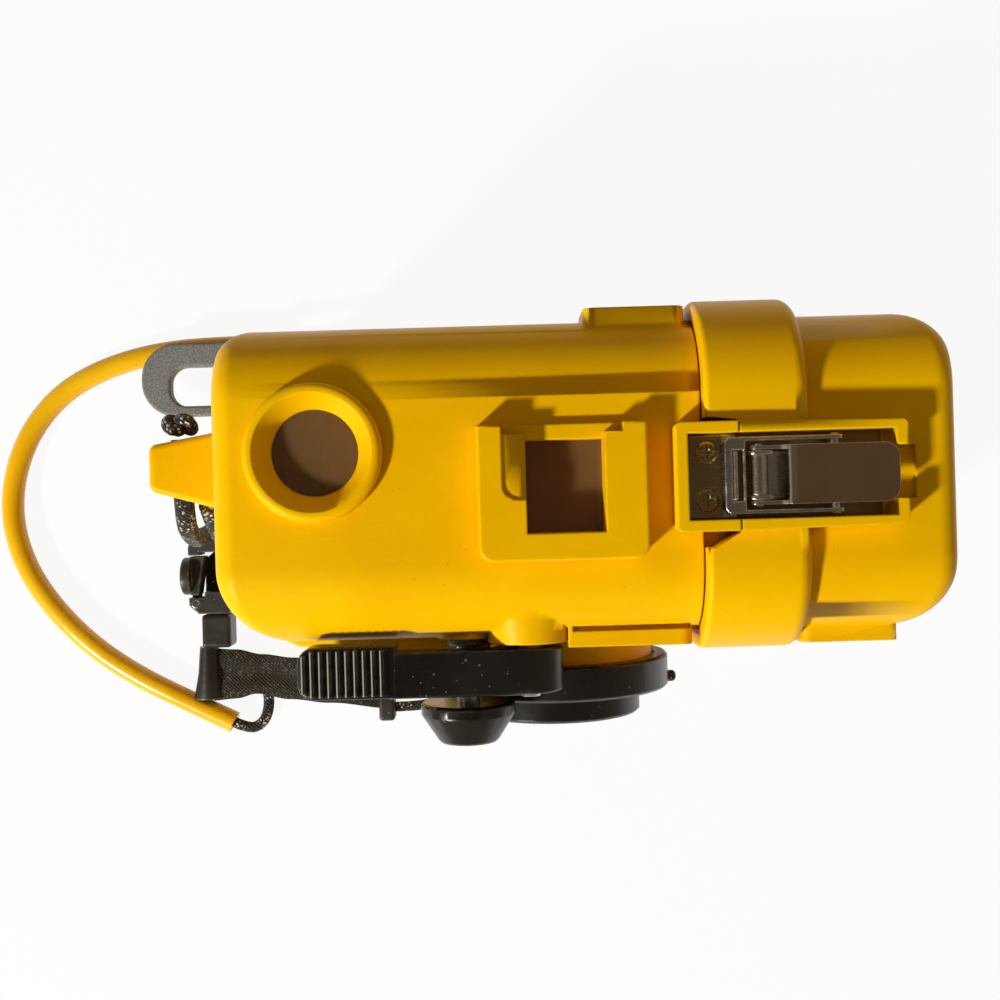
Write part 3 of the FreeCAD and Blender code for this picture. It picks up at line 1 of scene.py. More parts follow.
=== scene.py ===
"""The underwater camera's looks: a yellow moulded housing with its latch, lever, knob, lens and lanyard."""
import bmesh
import bpy
import json
import math
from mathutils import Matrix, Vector


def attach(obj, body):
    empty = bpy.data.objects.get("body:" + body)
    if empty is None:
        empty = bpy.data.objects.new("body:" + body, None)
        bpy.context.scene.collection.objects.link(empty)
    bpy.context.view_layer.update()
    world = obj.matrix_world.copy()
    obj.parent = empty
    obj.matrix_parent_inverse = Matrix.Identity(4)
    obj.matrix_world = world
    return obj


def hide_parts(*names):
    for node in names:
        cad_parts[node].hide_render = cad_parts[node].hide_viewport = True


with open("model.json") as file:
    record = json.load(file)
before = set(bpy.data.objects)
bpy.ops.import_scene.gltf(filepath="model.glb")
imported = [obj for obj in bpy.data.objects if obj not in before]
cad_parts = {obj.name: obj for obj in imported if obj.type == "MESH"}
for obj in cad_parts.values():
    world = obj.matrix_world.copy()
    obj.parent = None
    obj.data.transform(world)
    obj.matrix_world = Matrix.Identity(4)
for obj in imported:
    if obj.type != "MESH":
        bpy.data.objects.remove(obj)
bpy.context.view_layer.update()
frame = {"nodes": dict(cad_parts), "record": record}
nodes = frame["nodes"]
bpy.ops.object.select_all(action="DESELECT")
scene = bpy.context.scene

# The table, the lamp and the view from straight above.
# A white tabletop, one low lamp at the front left that gives each raised rim its shadow, and a warm
# surround, brighter round the horizon, that fills them. Past the table's edge the picture is white.
view_place = (-0.019, -0.0043, 0.342)
view_turn = -1.65
view_lens = 43.4
table_side = 0.8
table_drop = 0.0002
table_glow = 0.93
plain_white = (1, 1, 1, 1)
surround_tint = (1, 0.8, 0.6, 1)
horizon_level = 0.43
overhead_loss = -0.34
lamp_place = (-0.806, -0.676, 0.707)
lamp_target = (0, 0, 0.05)
lamp_side = 0.11
lamp_watts = 16.5
lamp_tint = (1, 0.98, 0.95)

camera_data = bpy.data.cameras.new("view")
camera_data.lens = view_lens
camera_data.clip_start = 0.01
camera = bpy.data.objects.new("view", camera_data)
camera.location = view_place
camera.rotation_euler = (0, 0, math.radians(view_turn))
scene.collection.objects.link(camera)
scene.camera = camera
scene.view_settings.view_transform = "Standard"


def link(tree, *pairs):
    """Wires outputs to inputs, two by two."""
    for source, target in zip(pairs[::2], pairs[1::2]):
        tree.links.new(source, target)


def maths(tree, operation, first, second=0.0, third=0.0):
    """One sum in a material; each term is a number or another node's output."""
    made = tree.nodes.new("ShaderNodeMath")
    made.operation = operation
    for socket, term in zip(made.inputs, (first, second, third)):
        if isinstance(term, (int, float)):
            socket.default_value = term
        else:
            tree.links.new(term, socket)
    return made.outputs[0]


bpy.ops.mesh.primitive_plane_add(size=table_side, location=(0, 0, -table_drop))
table = bpy.context.object
table.name = "table"
table_top = bpy.data.materials.new("table_top")
table_top.use_nodes = True
tree = table_top.node_tree
shader = tree.nodes["Principled BSDF"]
shader.inputs["Base Color"].default_value = (0.9, 0.9, 0.9, 1)
shader.inputs["Roughness"].default_value = 0.9
ray = tree.nodes.new("ShaderNodeLightPath")
seen = maths(tree, "MAXIMUM", ray.outputs["Is Camera Ray"], ray.outputs["Is Glossy Ray"])
seen = maths(tree, "MAXIMUM", seen, ray.outputs["Is Transmission Ray"])
glow = tree.nodes.new("ShaderNodeEmission")
glow.inputs["Color"].default_value = plain_white
blend = tree.nodes.new("ShaderNodeMixShader")
link(tree, maths(tree, "MULTIPLY", seen, table_glow), blend.inputs["Fac"], shader.outputs[0], blend.inputs[1],
     glow.outputs[0], blend.inputs[2], blend.outputs[0], tree.nodes["Material Output"].inputs["Surface"])
table.data.materials.append(table_top)

world = bpy.data.worlds.new("studio")
world.use_nodes = True
scene.world = world
tree = world.node_tree
sky = tree.nodes.new("ShaderNodeTexCoord")
upward = tree.nodes.new("ShaderNodeSeparateXYZ")
link(tree, sky.outputs["Generated"], upward.inputs[0])
steepness = maths(tree, "ABSOLUTE", upward.outputs["Z"])
level = maths(tree, "MULTIPLY_ADD", steepness, overhead_loss, horizon_level)
surround = tree.nodes["Background"]
surround.inputs["Color"].default_value = surround_tint
ray = tree.nodes.new("ShaderNodeLightPath")
beyond = tree.nodes.new("ShaderNodeBackground")
beyond.inputs["Color"].default_value = plain_white
blend = tree.nodes.new("ShaderNodeMixShader")
link(tree, level, surround.inputs["Strength"], ray.outputs["Is Camera Ray"], blend.inputs["Fac"],
     surround.outputs[0], blend.inputs[1], beyond.outputs[0], blend.inputs[2],
     blend.outputs[0], tree.nodes["World Output"].inputs["Surface"])

key_light = bpy.data.lights.new("key", "AREA")
key_light.size = lamp_side
key_light.energy = lamp_watts
key_light.color = lamp_tint
key = bpy.data.objects.new("key", key_light)
key.location = lamp_place
key.rotation_euler = (Vector(lamp_target) - key.location).to_track_quat("-Z", "Y").to_euler()
scene.collection.objects.link(key)

# The lug cord: a black nylon cord with pale flecks, looped through the lug and tied to the snap hook.
# Its line is a soft curve that drops from the lug's hole down the housing's end.
lug_cord_width = 0.0046


def cord_curve(name, points, thickness):
    """A cord as one smooth curve with a round section; each point's radius carries the thickness."""
    curve = bpy.data.curves.new(name, "CURVE")
    curve.dimensions = "3D"
    curve.bevel_depth = 1
    curve.bevel_resolution = 6
    curve.resolution_u = 12
    curve.use_fill_caps = True
    spline = curve.splines.new("NURBS")
    spline.points.add(len(points) - 1)
    for point, place in zip(spline.points, points):
        point.co = (*place, 1)
        point.radius = thickness / 2
    spline.order_u = 3
    spline.use_endpoint_u = True
    made = bpy.data.objects.new(name, curve)
    scene.collection.objects.link(made)
    return made


lug_cord = cord_curve("cord_lug", [
    (-0.091, 0.0114, 0.068), (-0.091, -0.007, 0.068), (-0.094, -0.0115, 0.048),
    (-0.0978, -0.012, 0.026), (-0.099, -0.0102, 0.0045),
], lug_cord_width)
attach(lug_cord, "housing")
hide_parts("lug_cord")

# The lanyard's sleeve: a stiff yellow vinyl tube that lies in a wide bow on the table.
# A thin black cord runs through it and comes out of each of its ends.
sleeve = cord_curve("sleeve", [
    (-0.08, 0.041, 0.003), (-0.097, 0.041, 0.003), (-0.113, 0.04, 0.003), (-0.128, 0.0363, 0.003),
    (-0.141, 0.0296, 0.003), (-0.1503, 0.019, 0.003), (-0.1553, 0.0065, 0.003), (-0.1563, -0.0065, 0.003),
    (-0.1526, -0.0195, 0.003), (-0.1453, -0.031, 0.003), (-0.1348, -0.042, 0.003), (-0.122, -0.051, 0.003),
    (-0.1085, -0.058, 0.003), (-0.0953, -0.0646, 0.003),
], 0.006)
sleeve.data.resolution_u = 20
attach(sleeve, "housing")
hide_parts("lanyard_tube")

# The thin black cords: one from the sleeve's front end under the webbing into the strap's end, one
# from its rear end back over the ring to a knot, and the leash of the close-up lens.
thin_cord_width = 0.003
leash_width = 0.0028
cord_front = cord_curve("cord_front", [
    (-0.0952, -0.06465, 0.003), (-0.0912, -0.0666, 0.003), (-0.0876, -0.0654, 0.0026),
    (-0.0858, -0.0616, 0.0019), (-0.0858, -0.0564, 0.0016), (-0.088, -0.0516, 0.0016),
    (-0.0924, -0.0489, 0.0016), (-0.0974, -0.0484, 0.0017),
], thin_cord_width)
cord_rear = cord_curve("cord_rear", [
    (-0.0799, 0.041, 0.003), (-0.067, 0.0407, 0.003), (-0.0666, 0.0388, 0.0146),
    (-0.079, 0.0374, 0.0144), (-0.0864, 0.0368, 0.014),
], thin_cord_width)
leash = cord_curve("leash", [
    (-0.0499, -0.0615, 0.003), (-0.043, -0.0616, 0.0026), (-0.037, -0.06, 0.0032),
    (-0.0332, -0.0556, 0.008), (-0.0319, -0.0506, 0.0145), (-0.0318, -0.0472, 0.0234),
], leash_width)
for piece, solid in (
    (cord_front, "lanyard_cord_front"), (cord_rear, "lanyard_cord_rear"), (leash, "lens_leash"),
):
    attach(piece, "housing")
    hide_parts(solid)


# The housing and its hinged end cap: two mouldings in glossy yellow plastic, scuffed and dusty.
# Their soft corners, orange-peel skin and worn edges are in the material, and so are the creases, darkened
# partly by grime and partly by painted shade.
def srgb(red, green, blue):
    """A colour as it is seen, from 0 to 255, made linear."""
    linear = []
    for channel in (red, green, blue):
        share = channel / 255
        linear.append(share / 12.92 if share <= 0.04045 else ((share + 0.055) / 1.055) ** 2.4)
    return (*linear, 1)


yellow_shades = (srgb(244, 184, 0), srgb(253, 200, 0))
rubbed_yellow = srgb(255, 212, 14)
scratched_yellow = srgb(255, 216, 70)
crease_grime_and_shade_colour = srgb(150, 92, 8)
brown_specks = srgb(120, 84, 22)
crease_reach = 0.0035
crease_strength = 0.75
yellow_peel_depth = 0.00003
yellow_shine = 0.16
yellow_shine_tint = (1, 0.8, 0.3, 1)


def new_material(name, colour, roughness):
    """A material with its Principled shader at a plain colour and roughness."""
    made = bpy.data.materials.new(name)
    made.use_nodes = True
    finish = made.node_tree.nodes["Principled BSDF"]
    finish.inputs["Base Color"].default_value = colour
    finish.inputs["Roughness"].default_value = roughness
    return made, made.node_tree, finish


def effect(name, inputs, outputs):
    """An empty node group with number inputs and named outputs."""
    group = bpy.data.node_groups.new(name, "ShaderNodeTree")
    for label, value in inputs.items():
        socket = group.interface.new_socket(label, in_out="INPUT", socket_type="NodeSocketFloat")
        socket.default_value = value
    for label in outputs:
        kind = "NodeSocketVector" if label == "Normal" else "NodeSocketFloat"
        group.interface.new_socket(label, in_out="OUTPUT", socket_type=kind)
    return group, group.nodes.new("NodeGroupInput"), group.nodes.new("NodeGroupOutput")


def spot_on(tree):
    """The place on a piece, in metres from its origin."""
    return tree.nodes.new("ShaderNodeTexCoord").outputs["Object"]


def noise(tree, where, scale, detail=3.0, roughness=0.5):
    """Cloudy noise at a scale given in waves per metre."""
    made = tree.nodes.new("ShaderNodeTexNoise")
    made.inputs["Scale"].default_value = scale
    made.inputs["Detail"].default_value = detail
    made.inputs["Roughness"].default_value = roughness
    link(tree, where, made.inputs["Vector"])
    return made.outputs["Fac"]


def spread(tree, value, low, high, out_low=0.0, out_high=1.0):
    """A value between two limits, stretched to a new range."""
    made = tree.nodes.new("ShaderNodeMapRange")
    for socket, number in zip(made.inputs[1:5], (low, high, out_low, out_high)):
        socket.default_value = number
    link(tree, value, made.inputs["Value"])
    return made.outputs[0]


# Soft edges, on every moulded, turned or folded piece: the normal is rounded over each edge, and a mask says
# where an edge has worn; on the steel, the latch's lever and the black plastic the same mask also carries a
# painted highlight. The wear is broken up into patches, as handling leaves it.
soft_edge, given, result = effect("soft_edge", {"Radius": 0.0005, "Wear": 0.0012}, ("Normal", "Mask"))
wear_patches = 420
rounded_normal = soft_edge.nodes.new("ShaderNodeBevel")
wide_normal = soft_edge.nodes.new("ShaderNodeBevel")
rounded_normal.samples = wide_normal.samples = 6
true_normal = soft_edge.nodes.new("ShaderNodeNewGeometry")
agree = soft_edge.nodes.new("ShaderNodeVectorMath")
agree.operation = "DOT_PRODUCT"
link(soft_edge, given.outputs["Radius"], rounded_normal.inputs["Radius"], given.outputs["Wear"],
     wide_normal.inputs["Radius"], wide_normal.outputs[0], agree.inputs[0], true_normal.outputs["Normal"],
     agree.inputs[1], rounded_normal.outputs[0], result.inputs["Normal"])
turned_away = spread(soft_edge, agree.outputs["Value"], 0.97, 0.75)
broken = spread(soft_edge, noise(soft_edge, spot_on(soft_edge), wear_patches, 4), 0.35, 0.62)
link(soft_edge, maths(soft_edge, "MULTIPLY", turned_away, broken), result.inputs["Mask"])

# Signs of use, on every finish: a cloudy film, fine scratches in three directions, specks of dust and
# sand of two sizes, and the faint orange peel of a moulded skin.
film_waves = 26
peel_waves = 520
scratch_lays = ((0.5, 34), (-1.1, 46), (1.45, 28))
scratch_waves = 36
scratch_patches = 70
speck_sizes = ((300, 0.11), (760, 0.13))
dust_patches = 45
use, given, result = effect("signs_of_use", {"Specks": 0.5, "Scratches": 0.5},
                            ("Film", "Scratch", "Speck", "Peel"))
place_on = spot_on(use)
link(use, noise(use, place_on, film_waves, 5, 0.6), result.inputs["Film"])
link(use, noise(use, place_on, peel_waves, 2), result.inputs["Peel"])
lines = []
for turn, stretch in scratch_lays:
    lay = use.nodes.new("ShaderNodeMapping")
    lay.inputs["Rotation"].default_value = (turn * 0.7, turn * 0.4, turn)
    lay.inputs["Scale"].default_value = (1, stretch, stretch)
    link(use, place_on, lay.inputs["Vector"])
    drawn_out = noise(use, lay.outputs[0], scratch_waves, 1)
    hair = maths(use, "ABSOLUTE", maths(use, "SUBTRACT", drawn_out, 0.5))
    lines.append(spread(use, hair, 0.006, 0.0015))
patch = spread(use, noise(use, place_on, scratch_patches, 2), 0.5, 0.64)
hairs = maths(use, "MAXIMUM", maths(use, "MAXIMUM", lines[0], lines[1]), lines[2])
link(use, maths(use, "MULTIPLY", maths(use, "MULTIPLY", hairs, patch), given.outputs["Scratches"]),
     result.inputs["Scratch"])
grains = []
for count, reach in speck_sizes:
    cells = use.nodes.new("ShaderNodeTexVoronoi")
    cells.inputs["Scale"].default_value = count
    link(use, place_on, cells.inputs["Vector"])
    few = use.nodes.new("ShaderNodeSeparateColor")
    link(use, cells.outputs["Color"], few.inputs[0])
    near_grain = spread(use, cells.outputs["Distance"], reach, reach * 0.55)
    grains.append(maths(use, "MULTIPLY", near_grain, spread(use, few.outputs[0], 0.62, 0.66)))
dusty = spread(use, noise(use, place_on, dust_patches, 3), 0.42, 0.66)
specks = maths(use, "MULTIPLY", maths(use, "MAXIMUM", grains[0], grains[1]), dusty)
link(use, maths(use, "MULTIPLY", specks, given.outputs["Specks"]), result.inputs["Speck"])


def placed(tree, group, **values):
    """A node group set into a material, with its own values."""
    made = tree.nodes.new("ShaderNodeGroup")
    made.node_tree = group
    for label, value in values.items():
        made.inputs[label].default_value = value
    return made


def mixed(tree, share, first, second):
    """Two colours mixed by a mask; each is a colour or another node's output."""
    made = tree.nodes.new("ShaderNodeMix")
    made.data_type = "RGBA"
    tree.links.new(share, made.inputs["Factor"])
    for socket, colour in ((made.inputs["A"], first), (made.inputs["B"], second)):
        if isinstance(colour, tuple):
            socket.default_value = colour
        else:
            tree.links.new(colour, socket)
    return made.outputs["Result"]


def smeared(tree, marks, clean, dulled):
    """Roughness that grows from clean to dulled where the cloudy film lies."""
    return spread(tree, marks.outputs["Film"], 0.3, 0.75, clean, dulled)


def skinned(tree, shader, height, depth, normal):
    """Bump of a given depth in metres laid over an already rounded normal."""
    bump = tree.nodes.new("ShaderNodeBump")
    bump.inputs["Strength"].default_value = 1
    bump.inputs["Distance"].default_value = depth
    link(tree, height, bump.inputs["Height"], normal, bump.inputs["Normal"], bump.outputs[0],
         shader.inputs["Normal"])


yellow, tree, shader = new_material("yellow_plastic", srgb(250, 194, 0), 0.34)
edge = placed(tree, soft_edge, Radius=0.0007, Wear=0.0014)
worn = placed(tree, use, Specks=0.3, Scratches=0.16)
crease = tree.nodes.new("ShaderNodeAmbientOcclusion")
crease.samples = 6
crease.inputs["Distance"].default_value = crease_reach
colour = mixed(tree, spread(tree, worn.outputs["Film"], 0.3, 0.7), *yellow_shades)
colour = mixed(tree, edge.outputs["Mask"], colour, rubbed_yellow)
colour = mixed(tree, worn.outputs["Scratch"], colour, scratched_yellow)
# Part grime, part painted shade: the creases that the occlusion finds are darkened towards orange-brown.
crease_grime_and_shade = maths(tree, "MULTIPLY", spread(tree, crease.outputs["AO"], 0.62, 0.1), crease_strength)
colour = mixed(tree, crease_grime_and_shade, colour, crease_grime_and_shade_colour)
colour = mixed(tree, worn.outputs["Speck"], colour, brown_specks)
dull = maths(tree, "ADD", smeared(tree, worn, 0.3, 0.46), maths(tree, "MULTIPLY", worn.outputs["Scratch"], 0.25))
link(tree, colour, shader.inputs["Base Color"], dull, shader.inputs["Roughness"])
height = maths(tree, "SUBTRACT", worn.outputs["Peel"], maths(tree, "MULTIPLY", worn.outputs["Scratch"], 0.5))
skinned(tree, shader, height, yellow_peel_depth, edge.outputs["Normal"])
shader.inputs["Specular IOR Level"].default_value = yellow_shine
shader.inputs["Specular Tint"].default_value = yellow_shine_tint

body_of = {}
for body, members in frame["record"]["behaviour"]["bodies"].items():
    for member in members:
        body_of[member] = body


def alone(piece):
    """Selects one piece and makes it the one that operators act on."""
    bpy.ops.object.select_all(action="DESELECT")
    piece.select_set(True)
    bpy.context.view_layer.objects.active = piece


def skin(name, material, smooth=32):
    """A solid's own shape as one welded skin, so that its curves shade as curves."""
    made = bpy.data.objects.new(f"{name}_skin", nodes[name].data.copy())
    scene.collection.objects.link(made)
    alone(made)
    bpy.ops.object.mode_set(mode="EDIT")
    bpy.ops.mesh.select_all(action="SELECT")
    bpy.ops.mesh.remove_doubles(threshold=0.000001)
    bpy.ops.mesh.dissolve_limited(angle_limit=math.radians(0.4))
    bpy.ops.object.mode_set(mode="OBJECT")
    bpy.ops.object.shade_smooth_by_angle(angle=math.radians(smooth))
    even = made.modifiers.new("even", "WEIGHTED_NORMAL")
    even.keep_sharp = True
    bpy.ops.object.modifier_apply(modifier=even.name)
    made.data.materials.clear()
    made.data.materials.append(material)
    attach(made, body_of[name])
    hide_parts(name)
    return made


for name in ("main_housing", "door_cap"):
    skin(name, yellow)

# The ledge along the housing's front, under the shutter lever: a raised panel of the same moulding.
# It starts at the left corner and grows a little prouder towards the knob's shaft.
ledge_line = (
    (-0.022, -0.03), (-0.0686, -0.03), (-0.0688, -0.0326), (-0.0674, -0.0346), (-0.0646, -0.0358),
    (-0.054, -0.0368), (-0.043, -0.0376), (-0.022, -0.0376),
)
ledge_low = 0.014
ledge_rise = 0.0596


def slab(name, outline, low, rise):
    """A flat outline, raised into a closed slab."""
    bpy.ops.object.select_all(action="DESELECT")
    bpy.ops.mesh.primitive_circle_add(vertices=len(outline), fill_type="NGON")
    made = bpy.context.object
    made.name = name
    for vert, place in zip(made.data.vertices, outline):
        vert.co = (*place, low)
    bpy.ops.object.mode_set(mode="EDIT")
    bpy.ops.mesh.select_all(action="SELECT")
    bpy.ops.mesh.extrude_region_move(TRANSFORM_OT_translate={"value": (0, 0, rise)})
    bpy.ops.mesh.select_all(action="SELECT")
    bpy.ops.mesh.normals_make_consistent(inside=False)
    bpy.ops.object.mode_set(mode="OBJECT")
    return made


def softened(piece, width, segments=3, sharp=40, smooth=45):
    """Rounds every sharp edge of a moulded piece."""
    alone(piece)
    soft = piece.modifiers.new("soft", "BEVEL")
    soft.width = width
    soft.segments = segments
    soft.limit_method = "ANGLE"
    soft.angle_limit = math.radians(sharp)
    bpy.ops.object.modifier_apply(modifier=soft.name)
    bpy.ops.object.shade_smooth_by_angle(angle=math.radians(smooth))


ledge = slab("front_ledge", ledge_line, ledge_low, ledge_rise)
softened(ledge, 0.0009, segments=4, sharp=50, smooth=32)
ledge.data.materials.append(yellow)
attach(ledge, "housing")

# The finish of the lanyard's sleeve: smooth yellow vinyl, extruded as a tube.
# It is glossier than the housing, a little oranger, and carries brown specks of dirt.
vinyl_shades = (srgb(240, 178, 4), srgb(253, 202, 10))
vinyl_dirt = srgb(92, 62, 20)
vinyl, tree, shader = new_material("yellow_vinyl", srgb(250, 196, 4), 0.2)
worn = placed(tree, use, Specks=0.35, Scratches=0.6)
colour = mixed(tree, spread(tree, worn.outputs["Film"], 0.3, 0.7), *vinyl_shades)
colour = mixed(tree, worn.outputs["Speck"], colour, vinyl_dirt)
link(tree, colour, shader.inputs["Base Color"], smeared(tree, worn, 0.16, 0.34), shader.inputs["Roughness"])
edge = placed(tree, soft_edge, Radius=0.0004)
skinned(tree, shader, worn.outputs["Peel"], 0.00002, edge.outputs["Normal"])
sleeve.data.materials.append(vinyl)

# The windows: thick panes of clear acrylic, gone smoky and amber with age, over the dark inside.
# Each is cemented into its frame, and the port glass is held by a ring.
pane_tints = ((0.66, 0.37, 0.12, 1), (0.9, 0.56, 0.24, 1))
pane, tree, shader = new_material("clear_pane", (0.6, 0.32, 0.12, 1), 0.04)
shader.inputs["Transmission Weight"].default_value = 0.85
shader.inputs["IOR"].default_value = 1.49
worn = placed(tree, use, Specks=0.5, Scratches=0.5)
dull = maths(tree, "ADD", spread(tree, worn.outputs["Film"], 0.35, 0.8, 0.02, 0.12),
             maths(tree, "MULTIPLY", worn.outputs["Scratch"], 0.4))
edge = placed(tree, soft_edge, Radius=0.0003)
link(tree, mixed(tree, worn.outputs["Film"], *pane_tints), shader.inputs["Base Color"],
     dull, shader.inputs["Roughness"], edge.outputs["Normal"], shader.inputs["Normal"])
for name in ("top_window", "shoe_window", "rear_finder_window", "front_finder_window", "flash_window",
             "port_glass"):
    skin(name, pane)

# The film camera inside: a dark brown plastic body with its lens barrel and shutter button.
# It rests on pads in the housing and is only seen dimly through the panes.
camera_shades = (srgb(84, 52, 24), srgb(150, 100, 56))
camera_edges = srgb(150, 112, 84)
camera_dust = srgb(196, 166, 136)
inside, tree, shader = new_material("camera_plastic", srgb(96, 60, 40), 0.42)
edge = placed(tree, soft_edge, Radius=0.0008, Wear=0.0016)
worn = placed(tree, use, Specks=0.8, Scratches=0.8)
colour = mixed(tree, spread(tree, worn.outputs["Film"], 0.3, 0.7), *camera_shades)
colour = mixed(tree, edge.outputs["Mask"], colour, camera_edges)
colour = mixed(tree, worn.outputs["Speck"], colour, camera_dust)
link(tree, colour, shader.inputs["Base Color"], smeared(tree, worn, 0.3, 0.5), shader.inputs["Roughness"])
skinned(tree, shader, worn.outputs["Peel"], 0.00003, edge.outputs["Normal"])
for name in ("camera_body", "camera_lens_barrel", "camera_shutter_button"):
    skin(name, inside)

# The close-up lens and the camera's own glass: its lens, finder tube and flash tube.
# Polished optical glass with a pale blue coating, faintly smeared.
coating_tint = (0.6, 0.75, 1, 1)
glass, tree, shader = new_material("optical_glass", (0.82, 0.9, 0.95, 1), 0.02)
shader.inputs["Transmission Weight"].default_value = 1
shader.inputs["IOR"].default_value = 1.52
shader.inputs["Coat Weight"].default_value = 0.6
shader.inputs["Coat Tint"].default_value = coating_tint
worn = placed(tree, use, Specks=0.4, Scratches=0.3)
link(tree, spread(tree, worn.outputs["Film"], 0.4, 0.8, 0.01, 0.09), shader.inputs["Roughness"])
edge = placed(tree, soft_edge, Radius=0.0003)
skinned(tree, shader, worn.outputs["Peel"], 0.000004, edge.outputs["Normal"])
for name in ("closeup_lens", "camera_lens_glass", "camera_finder_tube", "camera_flash"):
    skin(name, glass, 40)

# Black mouldings: the shutter lever, the knob and the rings of the port and the close-up lens.
# Glossy black plastic with grey dust on it and hairline scratches. Its edges are paler, partly from wear and
# partly from a painted highlight, and along one side of each rib on the lever's thumb pad runs a pale line, part
# dust and part a painted highlight on the rib's lit side.
black_shades = (srgb(12, 10, 8), srgb(32, 28, 22))
pale_worn_and_lit_edges = srgb(120, 116, 108)
rib_dust_and_highlight_colour = srgb(166, 162, 152)
black_scratches = srgb(96, 90, 84)
grey_dust = srgb(176, 170, 160)
first_rib = -0.0621
rib_pitch = 0.00185
rib_side = (0.0, 0.03)
rib_other_side = (0.19, 0.13)
rib_tops = (0.08725, 0.08745)


def split_spot(tree):
    """The place on a piece as three numbers, in metres from its origin."""
    made = tree.nodes.new("ShaderNodeSeparateXYZ")
    link(tree, spot_on(tree), made.inputs[0])
    return made.outputs


black, tree, shader = new_material("black_plastic", srgb(20, 17, 13), 0.22)
edge = placed(tree, soft_edge, Radius=0.0005, Wear=0.0009)
worn = placed(tree, use, Specks=0.8, Scratches=0.08)
colour = mixed(tree, spread(tree, worn.outputs["Film"], 0.35, 0.75), *black_shades)
# Pale edges: part wear, part painted highlight.
colour = mixed(tree, maths(tree, "MULTIPLY", edge.outputs["Mask"], 0.55), colour, pale_worn_and_lit_edges)
spot = split_spot(tree)
# Rib lines: part dust, part painted highlight along one side of each rib near its top.
ribs = maths(tree, "DIVIDE", maths(tree, "SUBTRACT", spot["X"], first_rib), rib_pitch)
ribs = maths(tree, "FRACT", ribs)
rib_line = maths(tree, "MULTIPLY", spread(tree, ribs, *rib_side), spread(tree, ribs, *rib_other_side))
rib_dust_and_highlight = maths(tree, "MULTIPLY", rib_line, spread(tree, spot["Z"], *rib_tops))
colour = mixed(tree, rib_dust_and_highlight, colour, rib_dust_and_highlight_colour)
colour = mixed(tree, worn.outputs["Scratch"], colour, black_scratches)
colour = mixed(tree, worn.outputs["Speck"], colour, grey_dust)
dull = maths(tree, "ADD", smeared(tree, worn, 0.16, 0.4), maths(tree, "MULTIPLY", edge.outputs["Mask"], 0.3))
link(tree, colour, shader.inputs["Base Color"], dull, shader.inputs["Roughness"])
height = maths(tree, "SUBTRACT", worn.outputs["Peel"], worn.outputs["Scratch"])
skinned(tree, shader, height, 0.00002, edge.outputs["Normal"])
for name in ("port_retaining_ring", "closeup_adapter_ring", "closeup_front_ring", "shutter_lever",
             "control_knob"):
    skin(name, black)

# Steel: the latch's folded sheet parts, the screws, pins and shafts, and the small levers inside.
# Polished stainless, faintly brushed along its length. The striker plate and its screws, under the
# latch's lip, have a brown film.
steel_shades = ((0.4, 0.36, 0.31, 1), (0.7, 0.67, 0.62, 1))
worn_and_lit_edges = (0.86, 0.84, 0.8, 1)
brown_film = ((0.3, 0.2, 0.08, 1), (0.5, 0.37, 0.18, 1))
steel_specks = (0.12, 0.09, 0.06, 1)
striker_end = (0.0269, 0.0267)
striker_level = (0.088, 0.089)
brushing = (60, 2600, 2600)
steel, tree, shader = new_material("steel", (0.62, 0.58, 0.52, 1), 0.2)
shader.inputs["Metallic"].default_value = 1
edge = placed(tree, soft_edge, Radius=0.0005, Wear=0.0008)
worn = placed(tree, use, Specks=0.4, Scratches=0.6)
grain_lay = tree.nodes.new("ShaderNodeMapping")
grain_lay.inputs["Scale"].default_value = brushing
link(tree, spot_on(tree), grain_lay.inputs["Vector"])
brushed = noise(tree, grain_lay.outputs[0], 1, 3)
colour = mixed(tree, spread(tree, worn.outputs["Film"], 0.35, 0.7), *steel_shades)
# Part wear, part painted highlight: the edge mask turns the edges a near-white steel colour.
colour = mixed(tree, edge.outputs["Mask"], colour, worn_and_lit_edges)
spot = split_spot(tree)
browned = maths(tree, "MULTIPLY", spread(tree, spot["X"], *striker_end), spread(tree, spot["Z"], *striker_level))
colour = mixed(tree, browned, colour, mixed(tree, worn.outputs["Film"], *brown_film))
colour = mixed(tree, worn.outputs["Speck"], colour, steel_specks)
dull = maths(tree, "MULTIPLY_ADD", edge.outputs["Mask"], 0.3, spread(tree, brushed, 0.3, 0.7, 0.12, 0.3))
link(tree, colour, shader.inputs["Base Color"], dull, shader.inputs["Roughness"])
height = maths(tree, "ADD", brushed, worn.outputs["Scratch"])
skinned(tree, shader, height, 0.000006, edge.outputs["Normal"])
for name in ("hinge_pin", "striker_plate", "striker_screws", "latch_base", "latch_base_screws",
             "latch_pivot_pin", "bail_pin", "latch_bail", "shutter_shaft", "lever_screw", "shutter_finger",
             "control_shaft", "control_crank"):
    skin(name, steel)

# The tray under the latch: a thin dark brown sheet, finished as dull metal, that lines the floor of the pocket
# in the cap.
# It lies flat on the moulding under the latch's base, so the pocket's floor shows dark.
tray_low = (0.0305, -0.0094, 0.09085)
tray_high = (0.0605, 0.0079, 0.09115)
tray_shades = ((0.2, 0.13, 0.05, 1), (0.4, 0.3, 0.15, 1))
tray_scratches = (0.5, 0.42, 0.3, 1)
bpy.ops.object.select_all(action="DESELECT")
bpy.ops.mesh.primitive_cube_add(size=1)
tray = bpy.context.object
tray.name = "latch_tray"
for vert in tray.data.vertices:
    vert.co = [low if side < 0 else high for side, low, high in zip(vert.co, tray_low, tray_high)]
tray_metal, tree, shader = new_material("dark_tray_metal", (0.3, 0.21, 0.1, 1), 0.4)
shader.inputs["Metallic"].default_value = 1
worn = placed(tree, use, Specks=0.6, Scratches=0.5)
edge = placed(tree, soft_edge, Radius=0.0002)
colour = mixed(tree, spread(tree, worn.outputs["Film"], 0.35, 0.7), *tray_shades)
